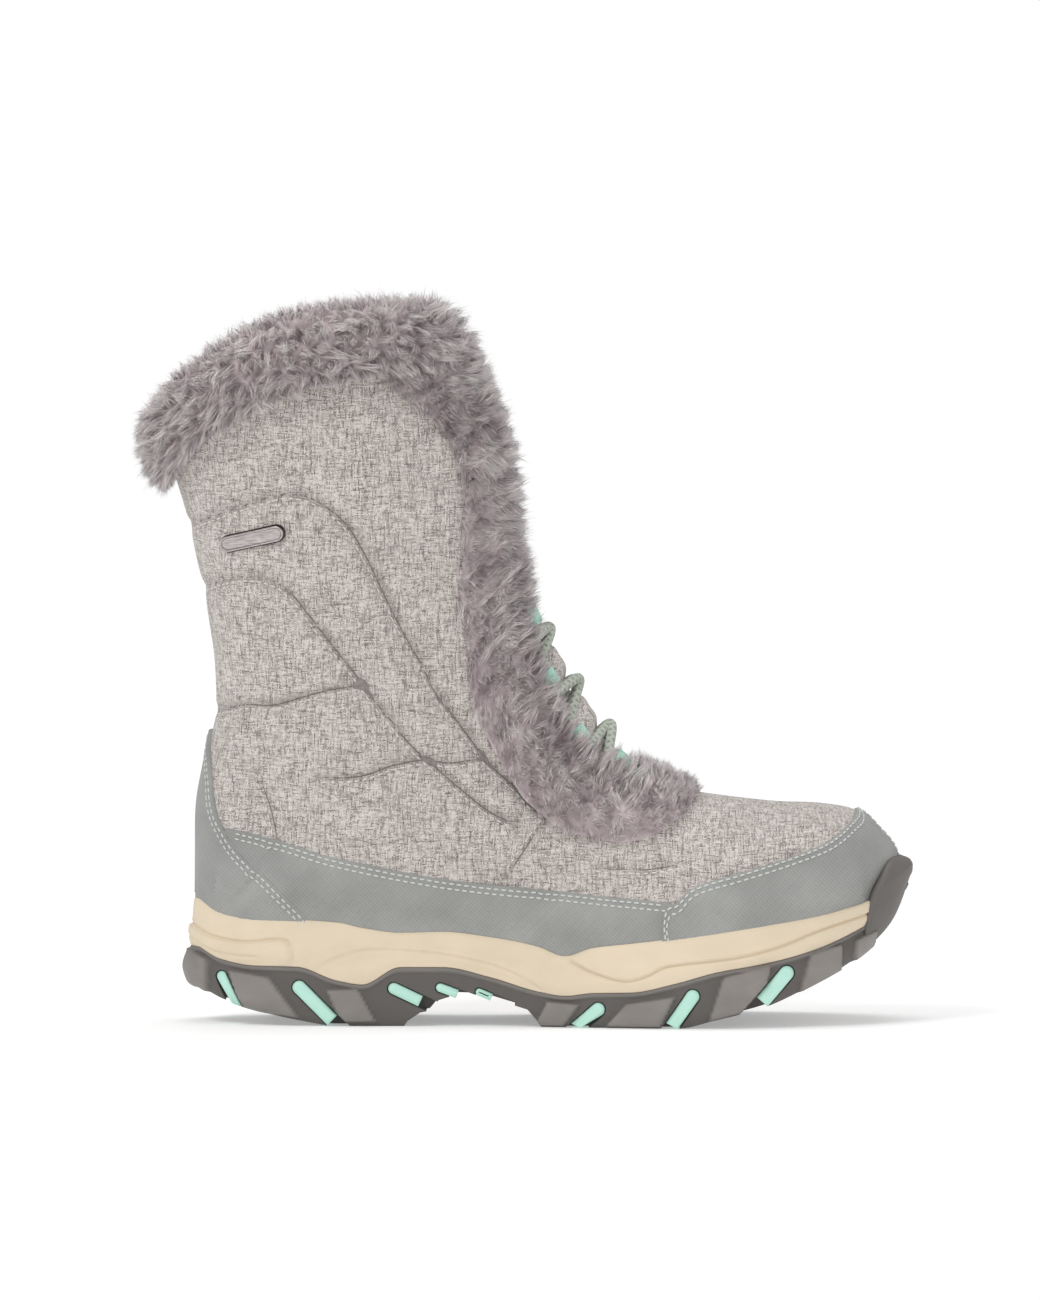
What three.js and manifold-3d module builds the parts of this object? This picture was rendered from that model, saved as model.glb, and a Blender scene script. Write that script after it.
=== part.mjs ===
// A woman's lace-up snow boot for the right foot, in millimetres, +Z up, toe towards +X and its outer side towards -Y.
// Built up as the real one is: a rubber outsole with coloured lugs, a foam midsole with a cupped edge, a padded
// fabric upper on it with synthetic overlays, a gusseted tongue, cord lacing in webbing loops, and deep pile trim.
import * as THREE from "three";
import { mergeVertices } from "three/addons/utils/BufferGeometryUtils.js";
import Module from "manifold-3d";

const wasm = await Module();
wasm.setup();

// Driving dimensions
const FOOT_LENGTH = 261.5; // the upper's own outline on the midsole, heel to toe
const BALL_WIDTH = 94; // the same outline across the ball of the foot
const SOLE_HEIGHT = 40; // floor to the midsole's top edge at the heel
const SHAFT_HEIGHT = 235; // midsole's top edge at the heel to the top of the collar's pile
const HEEL_OVERHANG = 6.5; // how far the sole reaches behind the upper
const WALL = 3; // quilted shell and lining together
const CLEARANCE = 0.3; // between pieces that touch
const LIP = 3; // the midsole's raised edge around the upper
const BUMPER = 6; // rubber in front of the toe
const HEEL_FLARE = 2.8; // how much further the outsole reaches at the back
const OVERLAY = 1.2; // thickness of the synthetic overlays
const INSOLE = 5;
const TONGUE = 4.5;
const TONGUE_TUCK = 0.055; // how far the tongue reaches under the throat's edge, as a share of a half section
const PILE = 7.5; // length of the pile, flat on the leather
const COLLAR_PILE = 9;
const COLLAR_BAND = 22; // how far the collar's trim hangs down outside
const COLLAR_TURN_IN = 17; // and inside
const LACE = 4;
const LOOP_WIDTH = 6;
const LOOP_WEBBING = 0.9;
const BADGE_LENGTH = 24;
const BADGE_HEIGHT = 6.4;
const BADGE_THICKNESS = 1.3;
const BADGE_TILT = 13; // degrees
const LUG_DEPTH = 16; // how far a coloured lug reaches in under the sole
const LUG_RECESS = 1.2; // how far it lies behind the sole's side
const GROOVE_DEPTH = 3.5;
const GROOVE_WIDTH = 4;

const V = (x, y, z) => new THREE.Vector3(x, y, z);
const mix = (a, b, t) => a + (b - a) * t;
const clamp = (x, low, high) => Math.min(high, Math.max(low, x));
const smooth = (x, low, high) => {
  const t = clamp((x - low) / (high - low), 0, 1);
  return t * t * (3 - 2 * t);
};
const rowsOf = (names, rows) => rows.map((row) => Object.fromEntries(names.map((name, i) => [name, row[i]])));

// A smooth curve through rows that never overshoots them, so flats stay flat.
function curve(xs, ys) {
  const n = xs.length - 1;
  const slope = xs.slice(0, n).map((x, i) => (ys[i + 1] - ys[i]) / (xs[i + 1] - x));
  const tangent = ys.map((_, i) => {
    if (i === 0 || i === n) return slope[i === 0 ? 0 : n - 1];
    const [a, b] = [slope[i - 1], slope[i]];
    return a * b <= 0 ? 0 : (2 * a * b) / (a + b);
  });
  return (x) => {
    const at = clamp(x, xs[0], xs[n]);
    let i = 0;
    while (i < n - 1 && at > xs[i + 1]) i++;
    const h = xs[i + 1] - xs[i];
    const t = (at - xs[i]) / h;
    const [t2, t3] = [t * t, t * t * t];
    return (
      ys[i] * (2 * t3 - 3 * t2 + 1) +
      tangent[i] * h * (t3 - 2 * t2 + t) +
      ys[i + 1] * (3 * t2 - 2 * t3) +
      tangent[i + 1] * h * (t3 - t2)
    );
  };
}

// A rounder curve through rows by their number, given the values just past each end.
function through(values, before, after) {
  const all = [before, ...values, after];
  return (row) => {
    const i = clamp(Math.floor(row), 0, values.length - 2);
    const t = row - i;
    const [a, b, c, d] = all.slice(i, i + 4);
    return 0.5 * (2 * b + (c - a) * t + (2 * a - 5 * b + 4 * c - d) * t * t + (3 * b - a - 3 * c + d) * t * t * t);
  };
}

// The heights of the sole along the foot: shares of the foot's length and of the sole's height.
const HEIGHTS = rowsOf(
  ["along", "floor", "outsoleTop", "seat", "feather"],
  [
    [0.0, 0.33, 0.72, 0.78, 1.18],
    [0.03, 0.24, 0.62, 0.77, 1.06],
    [0.08, 0.14, 0.565, 0.755, 1.005],
    [0.14, 0.055, 0.56, 0.75, 0.998],
    [0.2, 0.0, 0.43, 0.735, 0.975],
    [0.235, 0.0, 0.395, 0.73, 0.925],
    [0.29, 0.0, 0.56, 0.725, 0.88],
    [0.35, 0.0, 0.56, 0.71, 0.89],
    [0.42, 0.0, 0.465, 0.66, 0.84],
    [0.485, 0.0, 0.34, 0.56, 0.76],
    [0.525, 0.0, 0.3, 0.51, 0.67],
    [0.565, 0.0, 0.33, 0.5, 0.75],
    [0.62, 0.0, 0.34, 0.505, 0.795],
    [0.685, 0.0, 0.43, 0.54, 0.85],
    [0.74, 0.075, 0.53, 0.625, 0.9],
    [0.81, 0.19, 0.61, 0.71, 0.97],
    [0.88, 0.39, 0.725, 0.82, 1.04],
    [0.945, 0.62, 0.9, 0.97, 1.13],
    [0.98, 0.8, 1.03, 1.12, 1.22],
    [1.0, 0.95, 1.16, 1.19, 1.3],
    [1.025, 1.28, 1.3, 1.3, 1.35],
  ],
);
const heightAlong = (name) => {
  const f = curve(
    HEIGHTS.map((row) => row.along * FOOT_LENGTH + HEEL_OVERHANG),
    HEIGHTS.map((row) => row[name] * SOLE_HEIGHT),
  );
  return f;
};
const floorAt = heightAlong("floor");
const outsoleTopAt = heightAlong("outsoleTop");
const seatAt = heightAlong("seat");
const featherAt = heightAlong("feather");

// The upper's outline on the sole: shares of the foot's length and of the ball's width, from the heel to the toe.
const OUTLINE = rowsOf(
  ["along", "outer", "inner"],
  [
    [0.0, 0.0, 0.0],
    [0.01, 0.13, 0.128],
    [0.04, 0.228, 0.223],
    [0.095, 0.303, 0.293],
    [0.17, 0.34, 0.33],
    [0.27, 0.351, 0.33],
    [0.37, 0.358, 0.311],
    [0.47, 0.385, 0.315],
    [0.57, 0.447, 0.376],
    [0.66, 0.497, 0.45],
    [0.735, 0.508, 0.489],
    [0.81, 0.477, 0.491],
    [0.88, 0.402, 0.452],
    [0.935, 0.295, 0.388],
    [0.975, 0.158, 0.301],
    [0.995, 0.012, 0.194],
    [1.0, -0.092, 0.092],
  ],
);
const TOE = OUTLINE.length - 1;
const alongRow = through(
  OUTLINE.map((row) => row.along),
  OUTLINE[1].along,
  OUTLINE[TOE - 1].along,
);
const outerRow = through(
  OUTLINE.map((row) => row.outer),
  -OUTLINE[1].inner,
  -OUTLINE[TOE - 1].inner,
);
const innerRow = through(
  OUTLINE.map((row) => row.inner),
  -OUTLINE[1].outer,
  -OUTLINE[TOE - 1].outer,
);
const onOutline = (side, row) => [
  HEEL_OVERHANG + FOOT_LENGTH * alongRow(row),
  BALL_WIDTH * (side < 0 ? -outerRow(row) : innerRow(row)),
];

// The outline moved outwards in the floor's plane.
function offsetOutline(side, row, out) {
  const step = 0.01;
  const [x0, y0] = onOutline(side, Math.max(0, row - step));
  const [x1, y1] = onOutline(side, Math.min(TOE, row + step));
  const length = Math.hypot(x1 - x0, y1 - y0);
  const atTip = row === 0 || row === TOE;
  const nx = atTip ? (row === 0 ? -1 : 1) : ((y1 - y0) / length) * -side;
  const ny = atTip ? 0 : ((x1 - x0) / length) * side;
  const [x, y] = onOutline(side, row);
  return [x + nx * out, y + ny * out];
}

// Where the outline lies beside a point on the foot's length.
function outlineBeside(side, x) {
  const share = clamp((x - HEEL_OVERHANG) / FOOT_LENGTH, 0, 1);
  let [low, high] = [0, TOE];
  for (let i = 0; i < 30; i++) {
    const half = (low + high) / 2;
    if (alongRow(half) < share) low = half;
    else high = half;
  }
  return onOutline(side, (low + high) / 2)[1];
}

// The last's sections, from the toe to above the collar. Each lies on a line from the ridge over the instep to the
// sole or the back of the leg. Lengths are shares: along, of the foot's length; up, of the shaft's height over the
// sole's; across, of the ball's width. `widest` is where along its line a section is widest, and `square` how boxy
// its top is. A section that stands on the sole has no baseUp.
const SECTIONS = rowsOf(
  ["ridgeAlong", "ridgeUp", "ridgeAcross", "baseAlong", "baseUp", "outer", "inner", "widest", "square"],
  [
    [1.002, 0.09, 0.092, 1.0, null, -0.092, 0.092, 0.5, 2.4],
    [0.9955, 0.108, 0.1, 0.995, null, 0.02, 0.2, 0.55, 2.4],
    [0.9785, 0.13, 0.104, 0.975, null, 0.162, 0.305, 0.58, 2.4],
    [0.9465, 0.162, 0.098, 0.935, null, 0.298, 0.392, 0.62, 2.4],
    [0.893, 0.173, 0.085, 0.88, null, 0.405, 0.456, 0.66, 2.4],
    [0.824, 0.178, 0.07, 0.81, null, 0.48, 0.493, 0.7, 2.3],
    [0.755, 0.185, 0.058, 0.735, null, 0.511, 0.491, 0.72, 2.2],
    [0.6865, 0.2, 0.052, 0.66, null, 0.5, 0.457, 0.74, 2.1],
    [0.625, 0.234, 0.048, 0.57, null, 0.453, 0.4, 0.74, 2.0],
    [0.572, 0.289, 0.042, 0.47, null, 0.412, 0.367, 0.7, 2.0],
    [0.533, 0.35, 0.032, 0.37, null, 0.4, 0.367, 0.6, 2.0],
    [0.501, 0.412, 0.022, 0.27, null, 0.399, 0.378, 0.5, 2.0],
    [0.475, 0.465, 0.016, 0.17, null, 0.404, 0.388, 0.47, 2.0],
    [0.456, 0.515, 0.01, 0.095, null, 0.406, 0.394, 0.46, 2.0],
    [0.444, 0.558, 0.006, 0.04, null, 0.409, 0.398, 0.46, 2.0],
    [0.437, 0.592, 0.003, 0.01, null, 0.41, 0.4, 0.47, 2.0],
    [0.433, 0.617, 0.0, 0.0, null, 0.41, 0.4, 0.47, 2.0],
    [0.431, 0.643, 0.0, -0.0005, 0.1, 0.411, 0.401, 0.48, 2.0],
    [0.429, 0.67, 0.0, 0.001, 0.18, 0.413, 0.403, 0.49, 2.0],
    [0.427, 0.694, 0.0, 0.0115, 0.247, 0.416, 0.406, 0.5, 2.0],
    [0.4235, 0.719, 0.0, 0.021, 0.311, 0.42, 0.411, 0.5, 2.0],
    [0.416, 0.757, 0.0, 0.0235, 0.4, 0.432, 0.424, 0.5, 2.0],
    [0.4, 0.813, 0.0, 0.006, 0.523, 0.457, 0.45, 0.5, 2.0],
    [0.3785, 0.872, 0.0, -0.015, 0.626, 0.478, 0.472, 0.5, 2.0],
    [0.35, 0.936, 0.0, -0.0405, 0.732, 0.492, 0.487, 0.5, 2.0],
    [0.312, 1.02, 0.0, -0.0615, 0.834, 0.5, 0.496, 0.5, 2.0],
    [0.278, 1.105, 0.0, -0.079, 0.925, 0.505, 0.502, 0.5, 2.0],
  ],
);
const LAST_SECTION = SECTIONS.length - 1;
const HEEL_SECTION = SECTIONS.findIndex((row) => row.baseUp !== null) - 1;
const FEATHER_BLEND = 15; // height over which the sole's outline passes into the sections
const upperHeight = (share) => SOLE_HEIGHT + share * SHAFT_HEIGHT;
const placed = SECTIONS.map((row) => ({
  ridgeX: HEEL_OVERHANG + row.ridgeAlong * FOOT_LENGTH,
  ridgeY: row.ridgeAcross * BALL_WIDTH,
  ridgeZ: upperHeight(row.ridgeUp),
  baseX: HEEL_OVERHANG + row.baseAlong * FOOT_LENGTH,
  baseZ: row.baseUp === null ? seatAt(HEEL_OVERHANG + row.baseAlong * FOOT_LENGTH) : upperHeight(row.baseUp),
  outer: row.outer * BALL_WIDTH,
  inner: row.inner * BALL_WIDTH,
  widest: row.widest,
  square: row.square,
}));
const sectionCurves = Object.fromEntries(
  Object.keys(placed[0]).map((name) => {
    const values = placed.map((row) => row[name]);
    const after = 2 * values[LAST_SECTION] - values[LAST_SECTION - 1];
    const mirrored = { outer: -values[1], inner: -values[1], ridgeX: values[1], baseX: values[1] };
    return [name, through(values, mirrored[name] ?? values[1], after)];
  }),
);
sectionCurves.outer = through(
  placed.map((row) => row.outer),
  -placed[1].inner,
  placed[LAST_SECTION].outer,
);
sectionCurves.inner = through(
  placed.map((row) => row.inner),
  -placed[1].outer,
  placed[LAST_SECTION].inner,
);

// A point of the upper's outer surface. `section` runs from the toe to above the collar, and `around` from -1, the
// outer side's foot or the back seam, over 0 on the ridge, to 1 on the inner side.
function form(section, around) {
  const side = around < 0 ? -1 : 1;
  const a = Math.abs(around);
  const row = Object.fromEntries(Object.entries(sectionCurves).map(([name, f]) => [name, f(section)]));
  const width = side < 0 ? -row.outer : row.inner;
  const onSole = section <= HEEL_SECTION;
  const foot = onSole ? outlineBeside(side, row.baseX) : 0;
  if (onSole) row.baseZ = seatAt(row.baseX);
  let share, y;
  if (a < 0.5) {
    const power = 2 / row.square;
    share = row.widest * (1 - Math.cos(a * Math.PI) ** power);
    y = mix(row.ridgeY, width, Math.sin(a * Math.PI) ** power);
  } else {
    const turn = (a - 0.5) * Math.PI;
    share = mix(row.widest, 1, Math.sin(turn));
    y = mix(foot, width, Math.cos(turn));
  }
  const x = mix(row.ridgeX, row.baseX, share);
  const z = mix(row.ridgeZ, row.baseZ, share);
  const feather = featherAt(x);
  const beside = outlineBeside(side, x);
  return V(x, mix(beside, y, smooth(z, feather + 1, feather + FEATHER_BLEND)), z);
}

// The section and place on the outer side at a point of the side view.
function placeOf(x, z) {
  let [section, around] = [20, -0.6];
  for (let i = 0; i < 40; i++) {
    const at = form(section, around);
    const bySection = form(section + 0.01, around).sub(at).divideScalar(0.01);
    const byAround = form(section, around + 0.01).sub(at).divideScalar(0.01);
    const scale = bySection.x * byAround.z - bySection.z * byAround.x;
    const [dx, dz] = [x - at.x, z - at.z];
    section = clamp(section + (0.7 * (dx * byAround.z - dz * byAround.x)) / scale, 0, LAST_SECTION);
    around = clamp(around + (0.7 * (bySection.x * dz - bySection.z * dx)) / scale, -0.97, -0.03);
  }
  return { section, around };
}

// The same surface moved along its own normal.
function skin(section, around, out) {
  const at = form(section, around);
  if (out === 0) return at;
  const step = 0.01;
  const s0 = Math.max(0, section - step);
  const s1 = Math.min(LAST_SECTION, section + step);
  const a0 = Math.max(-1, around - step);
  const a1 = Math.min(1, around + step);
  const onward = form(s1, around).sub(form(s0, around));
  const round = form(section, a1).sub(form(section, a0));
  const normal = round.cross(onward).normalize();
  const onSeam = section === 0 || (Math.abs(around) === 1 && section >= HEEL_SECTION);
  if (onSeam) normal.setY(0).normalize();
  return at.addScaledVector(normal, out);
}

// Solids

function solidOf(points, triangles) {
  const geometry = new THREE.BufferGeometry();
  const position = new Float32Array(points.length * 3);
  points.forEach((p, i) => p.toArray(position, i * 3));
  geometry.setAttribute("position", new THREE.BufferAttribute(position, 3));
  geometry.setIndex(triangles.flat());
  return solidOfGeometry(geometry);
}

function solidOfGeometry(geometry) {
  geometry.deleteAttribute("normal");
  geometry.deleteAttribute("uv");
  const merged = mergeVertices(geometry, 1e-3);
  const index = merged.index.array;
  const p = merged.attributes.position;
  const faces = [];
  let volume = 0;
  const corner = (i) => new THREE.Vector3().fromBufferAttribute(p, i);
  for (let i = 0; i < index.length; i += 3) {
    const [a, b, c] = index.slice(i, i + 3);
    if (a === b || b === c || a === c) continue;
    faces.push(a, b, c);
    volume += corner(a).dot(corner(b).cross(corner(c)));
  }
  if (volume < 0) faces.reverse();
  return new wasm.Manifold(
    new wasm.Mesh({ numProp: 3, vertProperties: p.array, triVerts: new Uint32Array(faces) }),
  );
}

// A closed solid through rings of points. The ends are closed with strips across each ring.
function loft(rings, tipped = false) {
  const n = rings[0].length;
  const triangles = [];
  for (let r = 0; r < rings.length - 1; r++) {
    for (let i = 0; i < n; i++) {
      const j = (i + 1) % n;
      const [a, b, c, d] = [r * n + i, r * n + j, (r + 1) * n + j, (r + 1) * n + i];
      triangles.push([a, b, c], [a, c, d]);
    }
  }
  const close = (start, flip) => {
    const face = (a, b, c) => triangles.push(flip ? [start + a, start + b, start + c] : [start + a, start + c, start + b]);
    let [i, j] = [0, n - 1];
    if (tipped) {
      face(0, 1, n - 1);
      i = 1;
    }
    for (; j - i > 1; i++, j--) {
      face(i, i + 1, j);
      if (j - 1 > i + 1) face(i + 1, j - 1, j);
    }
  };
  close(0, false);
  close((rings.length - 1) * n, true);
  return solidOf(rings.flat(), triangles);
}

// The main body of a solid, without crumbs that a cut leaves.
const mainBody = (solid) => solid.decompose().reduce((a, b) => (a.volume() > b.volume() ? a : b));

const FLATNESS = 0.09; // how far a surface may shift where its flattest triangles are joined

// The same solid with its flattest triangles joined and its shortest edges drawn together, as long as it stays closed.
function welded(solid, shortest = 0.5) {
  const { vertProperties: p, triVerts: index } = solid.simplify(FLATNESS).getMesh();
  const corner = (i) => V(p[3 * i], p[3 * i + 1], p[3 * i + 2]);
  const root = Array.from({ length: p.length / 3 }, (_, i) => i);
  const find = (i) => (root[i] === i ? i : (root[i] = find(root[i])));
  for (let i = 0; i < index.length; i += 3) {
    for (const [a, b] of [[0, 1], [1, 2], [2, 0]]) {
      const [m, n] = [find(index[i + a]), find(index[i + b])];
      if (m !== n && corner(m).distanceTo(corner(n)) < shortest) root[Math.max(m, n)] = Math.min(m, n);
    }
  }
  const faces = new Map();
  for (let i = 0; i < index.length; i += 3) {
    const face = [find(index[i]), find(index[i + 1]), find(index[i + 2])];
    if (new Set(face).size < 3) continue;
    const key = [...face].sort((a, b) => a - b).join();
    if (faces.has(key)) faces.delete(key);
    else faces.set(key, face);
  }
  const points = Array.from({ length: p.length / 3 }, (_, i) => corner(i));
  try {
    return solidOf(points, [...faces.values()]);
  } catch {
    return shortest > 0.01 ? welded(solid, shortest / 2) : solid;
  }
}

// A side-view outline, [x, z] points, pushed through from one side to the other.
function sideCut(points, from = -200, to = 200) {
  const shape = new THREE.Shape(points.map(([x, z]) => new THREE.Vector2(x, z)));
  const geometry = new THREE.ExtrudeGeometry(shape, { depth: to - from, bevelEnabled: false });
  geometry.rotateX(Math.PI / 2).translate(0, to, 0);
  return solidOfGeometry(geometry);
}

// Rows of sections and of places around them, closer together where the last turns faster.
const SECTION_STEPS = [0, 0.5, 1, 1.6, 2.4, 3.4, 4.6, 6, 7, 8, 9, 10, 11.2, 12.6, 14, 15, 15.6, 16, 17, 18.5, 20.5]
  .concat([22.5, 24.5, 26]);
const HALF_STEPS = [0.13, 0.27, 0.42, 0.6, 0.8, 1];
const AROUND_STEPS = [...HALF_STEPS.map((a) => -a).reverse(), 0, ...HALF_STEPS];

// The last's whole body at an offset. It is closed underneath, `drop` lower than the seat.
function body(out, drop = 0) {
  return loft(
    SECTION_STEPS.map((section) => {
      const ring = AROUND_STEPS.map((around) => skin(section, around, out));
      const ends = [ring[0].clone(), ring[ring.length - 1].clone()];
      if (section <= HEEL_SECTION) ends.forEach((p) => p.setZ(p.z - drop));
      return [ends[0], ...ring, ends[1]];
    }),
  );
}

// Sole stations, close enough together for the waves in the midsole's edges.
const SOLE_ROWS = [0, 0.6, 1.2, 2, 2.8, 3.6, 4.2, 4.7, 5.1, 5.6, 6.2, 6.6, 7, 7.4, 8, 8.7, 9.4, 10.2, 11, 11.8]
  .concat([12.6, 13.4, 14.2, 15, 15.5, 16]);

function soleRing(out, heightAt, flare = 0) {
  const point = (side, row) => {
    const toeward = smooth(row, 12, TOE);
    const heelward = 1 - smooth(row, 0, 3.5);
    const [x, y] = offsetOutline(side, row, mix(LIP, BUMPER, toeward) + out + flare * heelward);
    return V(x, y, heightAt(x));
  };
  const inner = SOLE_ROWS.slice(1, -1).reverse();
  return [...SOLE_ROWS.map((row) => point(-1, row)), ...inner.map((row) => point(1, row))];
}
const between = (low, high, share) => (x) => mix(low(x), high(x), share);
const lifted = (f, up) => (x) => f(x) + up;
const side = (along, height) => [HEEL_OVERHANG + along * FOOT_LENGTH, height * SOLE_HEIGHT];

// Outsole

// The rubber bumper's place at the toe, and the waist's hollow between the heel and the forefoot.
const BUMPER_LINE = [[0.97, 0.5], [0.97, 0.98], [0.977, 1.19], [0.986, 1.33], [0.992, 1.42], [1.0, 1.55]];
const WAIST = [[0.285, -0.1], [0.3, 0.05], [0.318, 0.13], [0.332, 0.15], [0.345, 0.25], [0.37, 0.3], [0.41, 0.29]]
  .concat([[0.455, 0.2], [0.472, 0.165], [0.487, 0.05], [0.5, -0.1]]);
const bumperZone = (gap) => {
  const edge = BUMPER_LINE.map(([along, up]) => side(along, up)).map(([x, z]) => [x - gap, z]);
  return sideCut([...edge, [HEEL_OVERHANG + FOOT_LENGTH * 1.1, edge.at(-1)[1]], [HEEL_OVERHANG + FOOT_LENGTH * 1.1, edge[0][1]]]);
};

// Coloured lugs: the top and bottom of each, and its width, as shares of the foot's length and the sole's height.
const LUGS = rowsOf(
  ["topAlong", "topUp", "footAlong", "footUp", "width"],
  [
    [0.03, 0.5, 0.052, 0.17, 0.1],
    [0.138, 0.41, 0.186, 0.1, 0.13],
    [0.273, 0.38, 0.312, 0.26, 0.11],
    [0.341, 0.38, 0.366, 0.32, 0.085],
    [0.398, 0.34, 0.416, 0.29, 0.07],
    [0.58, 0.22, 0.548, 0.03, 0.13],
    [0.713, 0.36, 0.683, 0.07, 0.13],
    [0.849, 0.57, 0.813, 0.3, 0.14],
  ],
);
const PAST_THE_SOLE = 30;
const LUG_RUN_OUT = 0.9; // how much further a lug's notch runs than the lug, in widths

// A slanted slot with a round top, seen from the side.
function slot(lug, grow, runOut) {
  const [tx, tz] = side(lug.topAlong, lug.topUp);
  const [fx, fz] = side(lug.footAlong, lug.footUp);
  const half = (lug.width * SOLE_HEIGHT) / 2 + grow;
  const length = Math.hypot(fx - tx, fz - tz);
  const [ux, uz] = [(fx - tx) / length, (fz - tz) / length];
  const end = length + runOut * half;
  const at = (along, across) => [tx + ux * along - uz * across, tz + uz * along + ux * across];
  const arc = [0, 1, 2, 3].map((i) => (Math.PI * i) / 3);
  return [...arc.map((t) => at(half * (1 - Math.sin(t)) - grow, half * Math.cos(t))), at(end, -half), at(end, half)];
}
const lugReach = (lug, s) => {
  const y = outlineBeside(s, side(lug.topAlong, 0)[0]);
  return s < 0 ? [y - PAST_THE_SOLE, y - LIP + LUG_DEPTH] : [y + LIP - LUG_DEPTH, y + PAST_THE_SOLE];
};

const outsoleBlock = (out) =>
  loft(
    [
      soleRing(out - 3.5, floorAt, HEEL_FLARE),
      soleRing(out - 0.8, lifted(floorAt, 2.2), HEEL_FLARE),
      soleRing(out + 0.4, between(floorAt, outsoleTopAt, 0.5), HEEL_FLARE),
      soleRing(out, outsoleTopAt, HEEL_FLARE * 0.4),
    ],
    true,
  );
const BUMPER_TOP = SOLE_HEIGHT * 1.56;
const bumperBlock = loft(
  [
    soleRing(-6, floorAt),
    soleRing(-1.2, lifted(floorAt, 5)),
    soleRing(0.4, () => SOLE_HEIGHT * 1.3),
    soleRing(-0.6, () => SOLE_HEIGHT * 1.45),
    soleRing(-3.4, () => BUMPER_TOP),
  ],
  true,
);

// Grooves across the tread between the lugs, [share of the foot's length, lean].
const GROOVES = [[0.105, 2], [0.245, 2], [0.605, -3], [0.655, -3], [0.765, -3], [0.89, -3]];
const groove = ([along, lean]) => {
  const [x] = side(along, 0);
  const low = floorAt(x) - 3;
  const high = floorAt(x) + GROOVE_DEPTH;
  const half = GROOVE_WIDTH / 2;
  return sideCut([[x - half, low], [x + half, low], [x + half + lean, high], [x - half + lean, high]]);
};
const rib = ([along, lean]) => {
  const [x] = side(along, 0);
  const high = outsoleTopAt(x) - 3;
  const points = [[x - 1, -3], [x + 1.4, -3], [x + 1.4 + lean * 2, high], [x - 1 + lean * 2, high]];
  return sideCut(points).subtract(outsoleBlock(-2));
};
const pocket = body(1.5 * CLEARANCE, CLEARANCE);
const wholeOutsole = outsoleBlock(0).add(bumperBlock.intersect(bumperZone(0)));
const notches = LUGS.flatMap((lug) => [-1, 1].map((s) => sideCut(slot(lug, CLEARANCE + 0.6, 6), ...lugReach(lug, s))));
const outsole = wholeOutsole
  .subtract(sideCut(WAIST.map(([along, up]) => side(along, up))))
  .subtract(wasm.Manifold.union([...notches, ...GROOVES.map(groove), ...GROOVES.map(rib)]))
  .subtract(body(OVERLAY + 3 * CLEARANCE, CLEARANCE))
  .subtract(body(OVERLAY + 3 * CLEARANCE, CLEARANCE).translate([3 * CLEARANCE, 0, 0]));
const lugSolids = LUGS.flatMap((lug, i) =>
  [-1, 1].map((s) => {
    const reach = lugReach(lug, s);
    const inset = s < 0 ? [reach[0], reach[1] - CLEARANCE] : [reach[0] + CLEARANCE, reach[1]];
    const bar = sideCut(slot(lug, 0, LUG_RUN_OUT), ...inset);
    return [`tread_lug_${s < 0 ? "outer" : "inner"}_${i + 1}`, bar.intersect(outsoleBlock(-LUG_RECESS))];
  }),
);

// Midsole: a foam cup with a bulged side, whose lip stands round the foot of the upper.
const midsoleTop = lifted(featherAt, 0);
const midsole = loft(
  [
    soleRing(-0.4, lifted(outsoleTopAt, CLEARANCE), HEEL_FLARE * 0.4),
    soleRing(0.5, between(outsoleTopAt, featherAt, 0.25), HEEL_FLARE * 0.2),
    soleRing(0.3, between(outsoleTopAt, featherAt, 0.5)),
    soleRing(-0.5, between(outsoleTopAt, featherAt, 0.58)),
    soleRing(-0.8, midsoleTop),
  ],
  true,
)
  .subtract(bumperZone(CLEARANCE))
  .subtract(pocket);

// A strip of the side view between two heights.
function sideBand(low, high, from, to, steps = 24) {
  const xs = Array.from({ length: steps + 1 }, (_, i) => mix(from, to, i / steps));
  return [...xs.map((x) => [x, low(x)]), ...xs.reverse().map((x) => [x, high(x)])];
}
const HEEL_X = HEEL_OVERHANG - 10;
const TOE_X = HEEL_OVERHANG + FOOT_LENGTH + 10;
const insoleBlank = body(-WALL - 3 * CLEARANCE, 3).intersect(
  sideCut(sideBand(lifted(seatAt, CLEARANCE), lifted(seatAt, CLEARANCE + INSOLE), HEEL_X, side(0.965, 0)[0])),
);

// Upper

// The throat's edge: how far round from the ridge it lies at each section. The trim's inner and outer edges follow.
const THROAT = rowsOf(
  ["section", "edge", "trimInner", "trimOuter"],
  [
    [7.6, 0.0, 0.0, 0.3],
    [7.75, 0.07, 0.045, 0.312],
    [8.0, 0.13, 0.095, 0.325],
    [8.4, 0.19, 0.15, 0.345],
    [9.0, 0.235, 0.195, 0.37],
    [10.0, 0.25, 0.215, 0.39],
    [11.0, 0.23, 0.185, 0.385],
    [12.0, 0.19, 0.13, 0.355],
    [13.0, 0.165, 0.075, 0.31],
    [14.0, 0.158, 0.035, 0.28],
    [16.0, 0.158, 0.03, 0.255],
    [20.0, 0.155, 0.03, 0.225],
    [23.0, 0.15, 0.03, 0.205],
    [25.0, 0.15, 0.03, 0.2],
  ],
);
const throatCurve = (name) =>
  curve(
    THROAT.map((row) => row.section),
    THROAT.map((row) => row[name]),
  );
const throatEdge = throatCurve("edge");

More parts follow.
